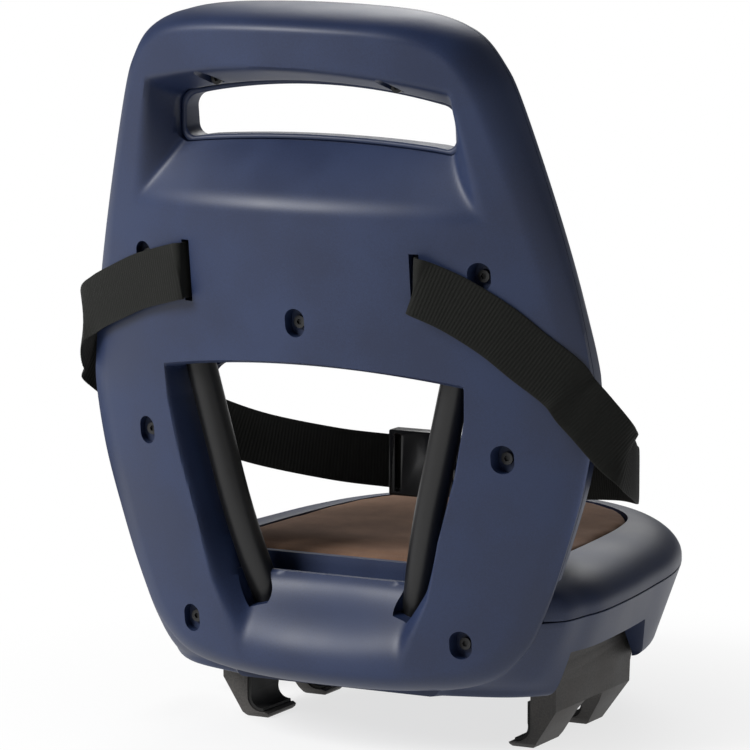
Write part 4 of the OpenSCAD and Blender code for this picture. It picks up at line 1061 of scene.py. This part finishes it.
thread = addNode(tree, "ShaderNodeMapRange", links={"Value": crossed.outputs[0]}, values={
    "From Min": -1.0, "From Max": 1.0})
# painted highlight on the raised threads and painted shade between them: the tone follows the
# thread height that the bump uses
tone = addNode(tree, "ShaderNodeMix", settings=mixKind, links={0: thread.outputs[0]}, values={
    6: linearColour(weave["dark"]), 7: linearColour(weave["light"])})
bump = addNode(tree, "ShaderNodeBump", links={"Height": thread.outputs[0]}, values={
    "Strength": weave["bump"], "Distance": weave["depth"] * mm})
shader = addNode(
    tree, "ShaderNodeBsdfPrincipled",
    values={"Roughness": weave["rough"], "Specular IOR Level": weave["specular"],
            "Sheen Weight": weave["sheen"], "Sheen Roughness": weave["sheenRough"]},
    links={"Base Color": tone.outputs[2], "Normal": bump.outputs[0]})
finishMaterial(tree, shader)


def paint(piece, material):
    piece.data.materials.clear()
    piece.data.materials.append(material)


paint(rear, navyPlastic)
paint(front, navyPlastic)
paint(pan, navyPlastic)
paint(pad, cushionSkin)
paint(tube, blackSteel)
paint(beltLeft, webbingSkin)
paint(beltRight, webbingSkin)
paint(soft["buckle_socket"], blackPlastic)
paint(soft["buckle_plug"], blackPlastic)
for node in ("bracket_left", "bracket_right", "knob", "tube_saddles"):
    paint(soft[node], greyPlastic)
kept = {
    "jaw_pads_left": rubber, "jaw_pads_right": rubber, "spindle_bushes": blackPlastic,
    "saddle_screws": darkSteel, "shell_screws": darkSteel, "pan_screws": darkSteel,
    "guide_rods": zincSteel, "spindle": zincSteel, "knob_pin": zincSteel,
    "spindle_nut_left": zincSteel, "spindle_nut_right": zincSteel,
    "retaining_clips": zincSteel, "belt_pins": zincSteel,
}
for node, material in kept.items():
    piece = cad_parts[node]
    piece.data.materials.clear()
    piece.data.materials.append(material)
print("materials set")


# Floor, backdrop and light

# each lamp: place from the middle of the picture, to the right, up and nearer, then power, size
studio = {
    "floor": "#f6f6f6", "radius": 9, "sides": 96,
    "shadowIn": 0.08, "shadowOut": 0.4, "shadowClear": 0.72,     # metres, and the least white
    "world": 0.13,
    "key": ((-2.1, 1.3, 1.3), 95, 1.2),
    "top": ((0.3, 1.5, -1.7), 16, 1.0),
    "fill": ((1.8, 0.5, 1.4), 2, 2.0),
}


def lamp(name, place, power, size):
    where = target + place[0] * rightward + place[1] * upward + place[2] * towards
    bpy.ops.object.light_add(type="AREA", location=where)
    light = bpy.context.object
    light.name = name
    light.data.energy = power
    light.data.size = size
    light.rotation_euler = (where - target).to_track_quat("Z", "Y").to_euler()


for name in ("key", "top", "fill"):
    lamp(name, *studio[name])

deselectAll()
bpy.ops.mesh.primitive_circle_add(vertices=studio["sides"], radius=studio["radius"],
                                  fill_type="NGON", location=(0, 0, 0))
floor = bpy.context.object
floor.name = "floor"
floorSkin, tree = newMaterial("paperSweep")
where = addNode(tree, "ShaderNodeTexCoord").outputs["Object"]
away = addNode(tree, "ShaderNodeVectorMath", settings={"operation": "LENGTH"}, links={0: where})
faded = addNode(tree, "ShaderNodeMapRange", links={"Value": away.outputs["Value"]}, values={
    "From Min": studio["shadowIn"], "From Max": studio["shadowOut"],
    "To Min": studio["shadowClear"]})
rays = addNode(tree, "ShaderNodeLightPath")
seen = addNode(tree, "ShaderNodeMath", settings={"operation": "MAXIMUM"},
               links={0: rays.outputs["Is Camera Ray"], 1: rays.outputs["Is Glossy Ray"]})
share = addNode(tree, "ShaderNodeMath", settings=product,
                links={0: faded.outputs[0], 1: seen.outputs[0]})
paper = addNode(tree, "ShaderNodeBsdfDiffuse", values={"Color": linearColour(studio["floor"])})
white = addNode(tree, "ShaderNodeEmission", values={"Color": (1, 1, 1, 1), "Strength": 1.0})
shader = addNode(tree, "ShaderNodeMixShader",
                 links={0: share.outputs[0], 1: paper.outputs[0], 2: white.outputs[0]})
finishMaterial(tree, shader)
floor.data.materials.append(floorSkin)

world = bpy.data.worlds.new("studio")
bpy.context.scene.world = world
world.use_nodes = True
tree = world.node_tree
tree.nodes.clear()
rays = addNode(tree, "ShaderNodeLightPath")
seen = addNode(tree, "ShaderNodeMath", settings={"operation": "MAXIMUM"},
               links={0: rays.outputs["Is Camera Ray"], 1: rays.outputs["Is Transmission Ray"]})
dim = addNode(tree, "ShaderNodeBackground",
              values={"Color": (1, 1, 1, 1), "Strength": studio["world"]})
bright = addNode(tree, "ShaderNodeBackground", values={"Color": (1, 1, 1, 1), "Strength": 1.0})
both = addNode(tree, "ShaderNodeMixShader",
               links={0: seen.outputs[0], 1: dim.outputs[0], 2: bright.outputs[0]})
addNode(tree, "ShaderNodeOutputWorld", links={"Surface": both.outputs[0]})
print("studio set")
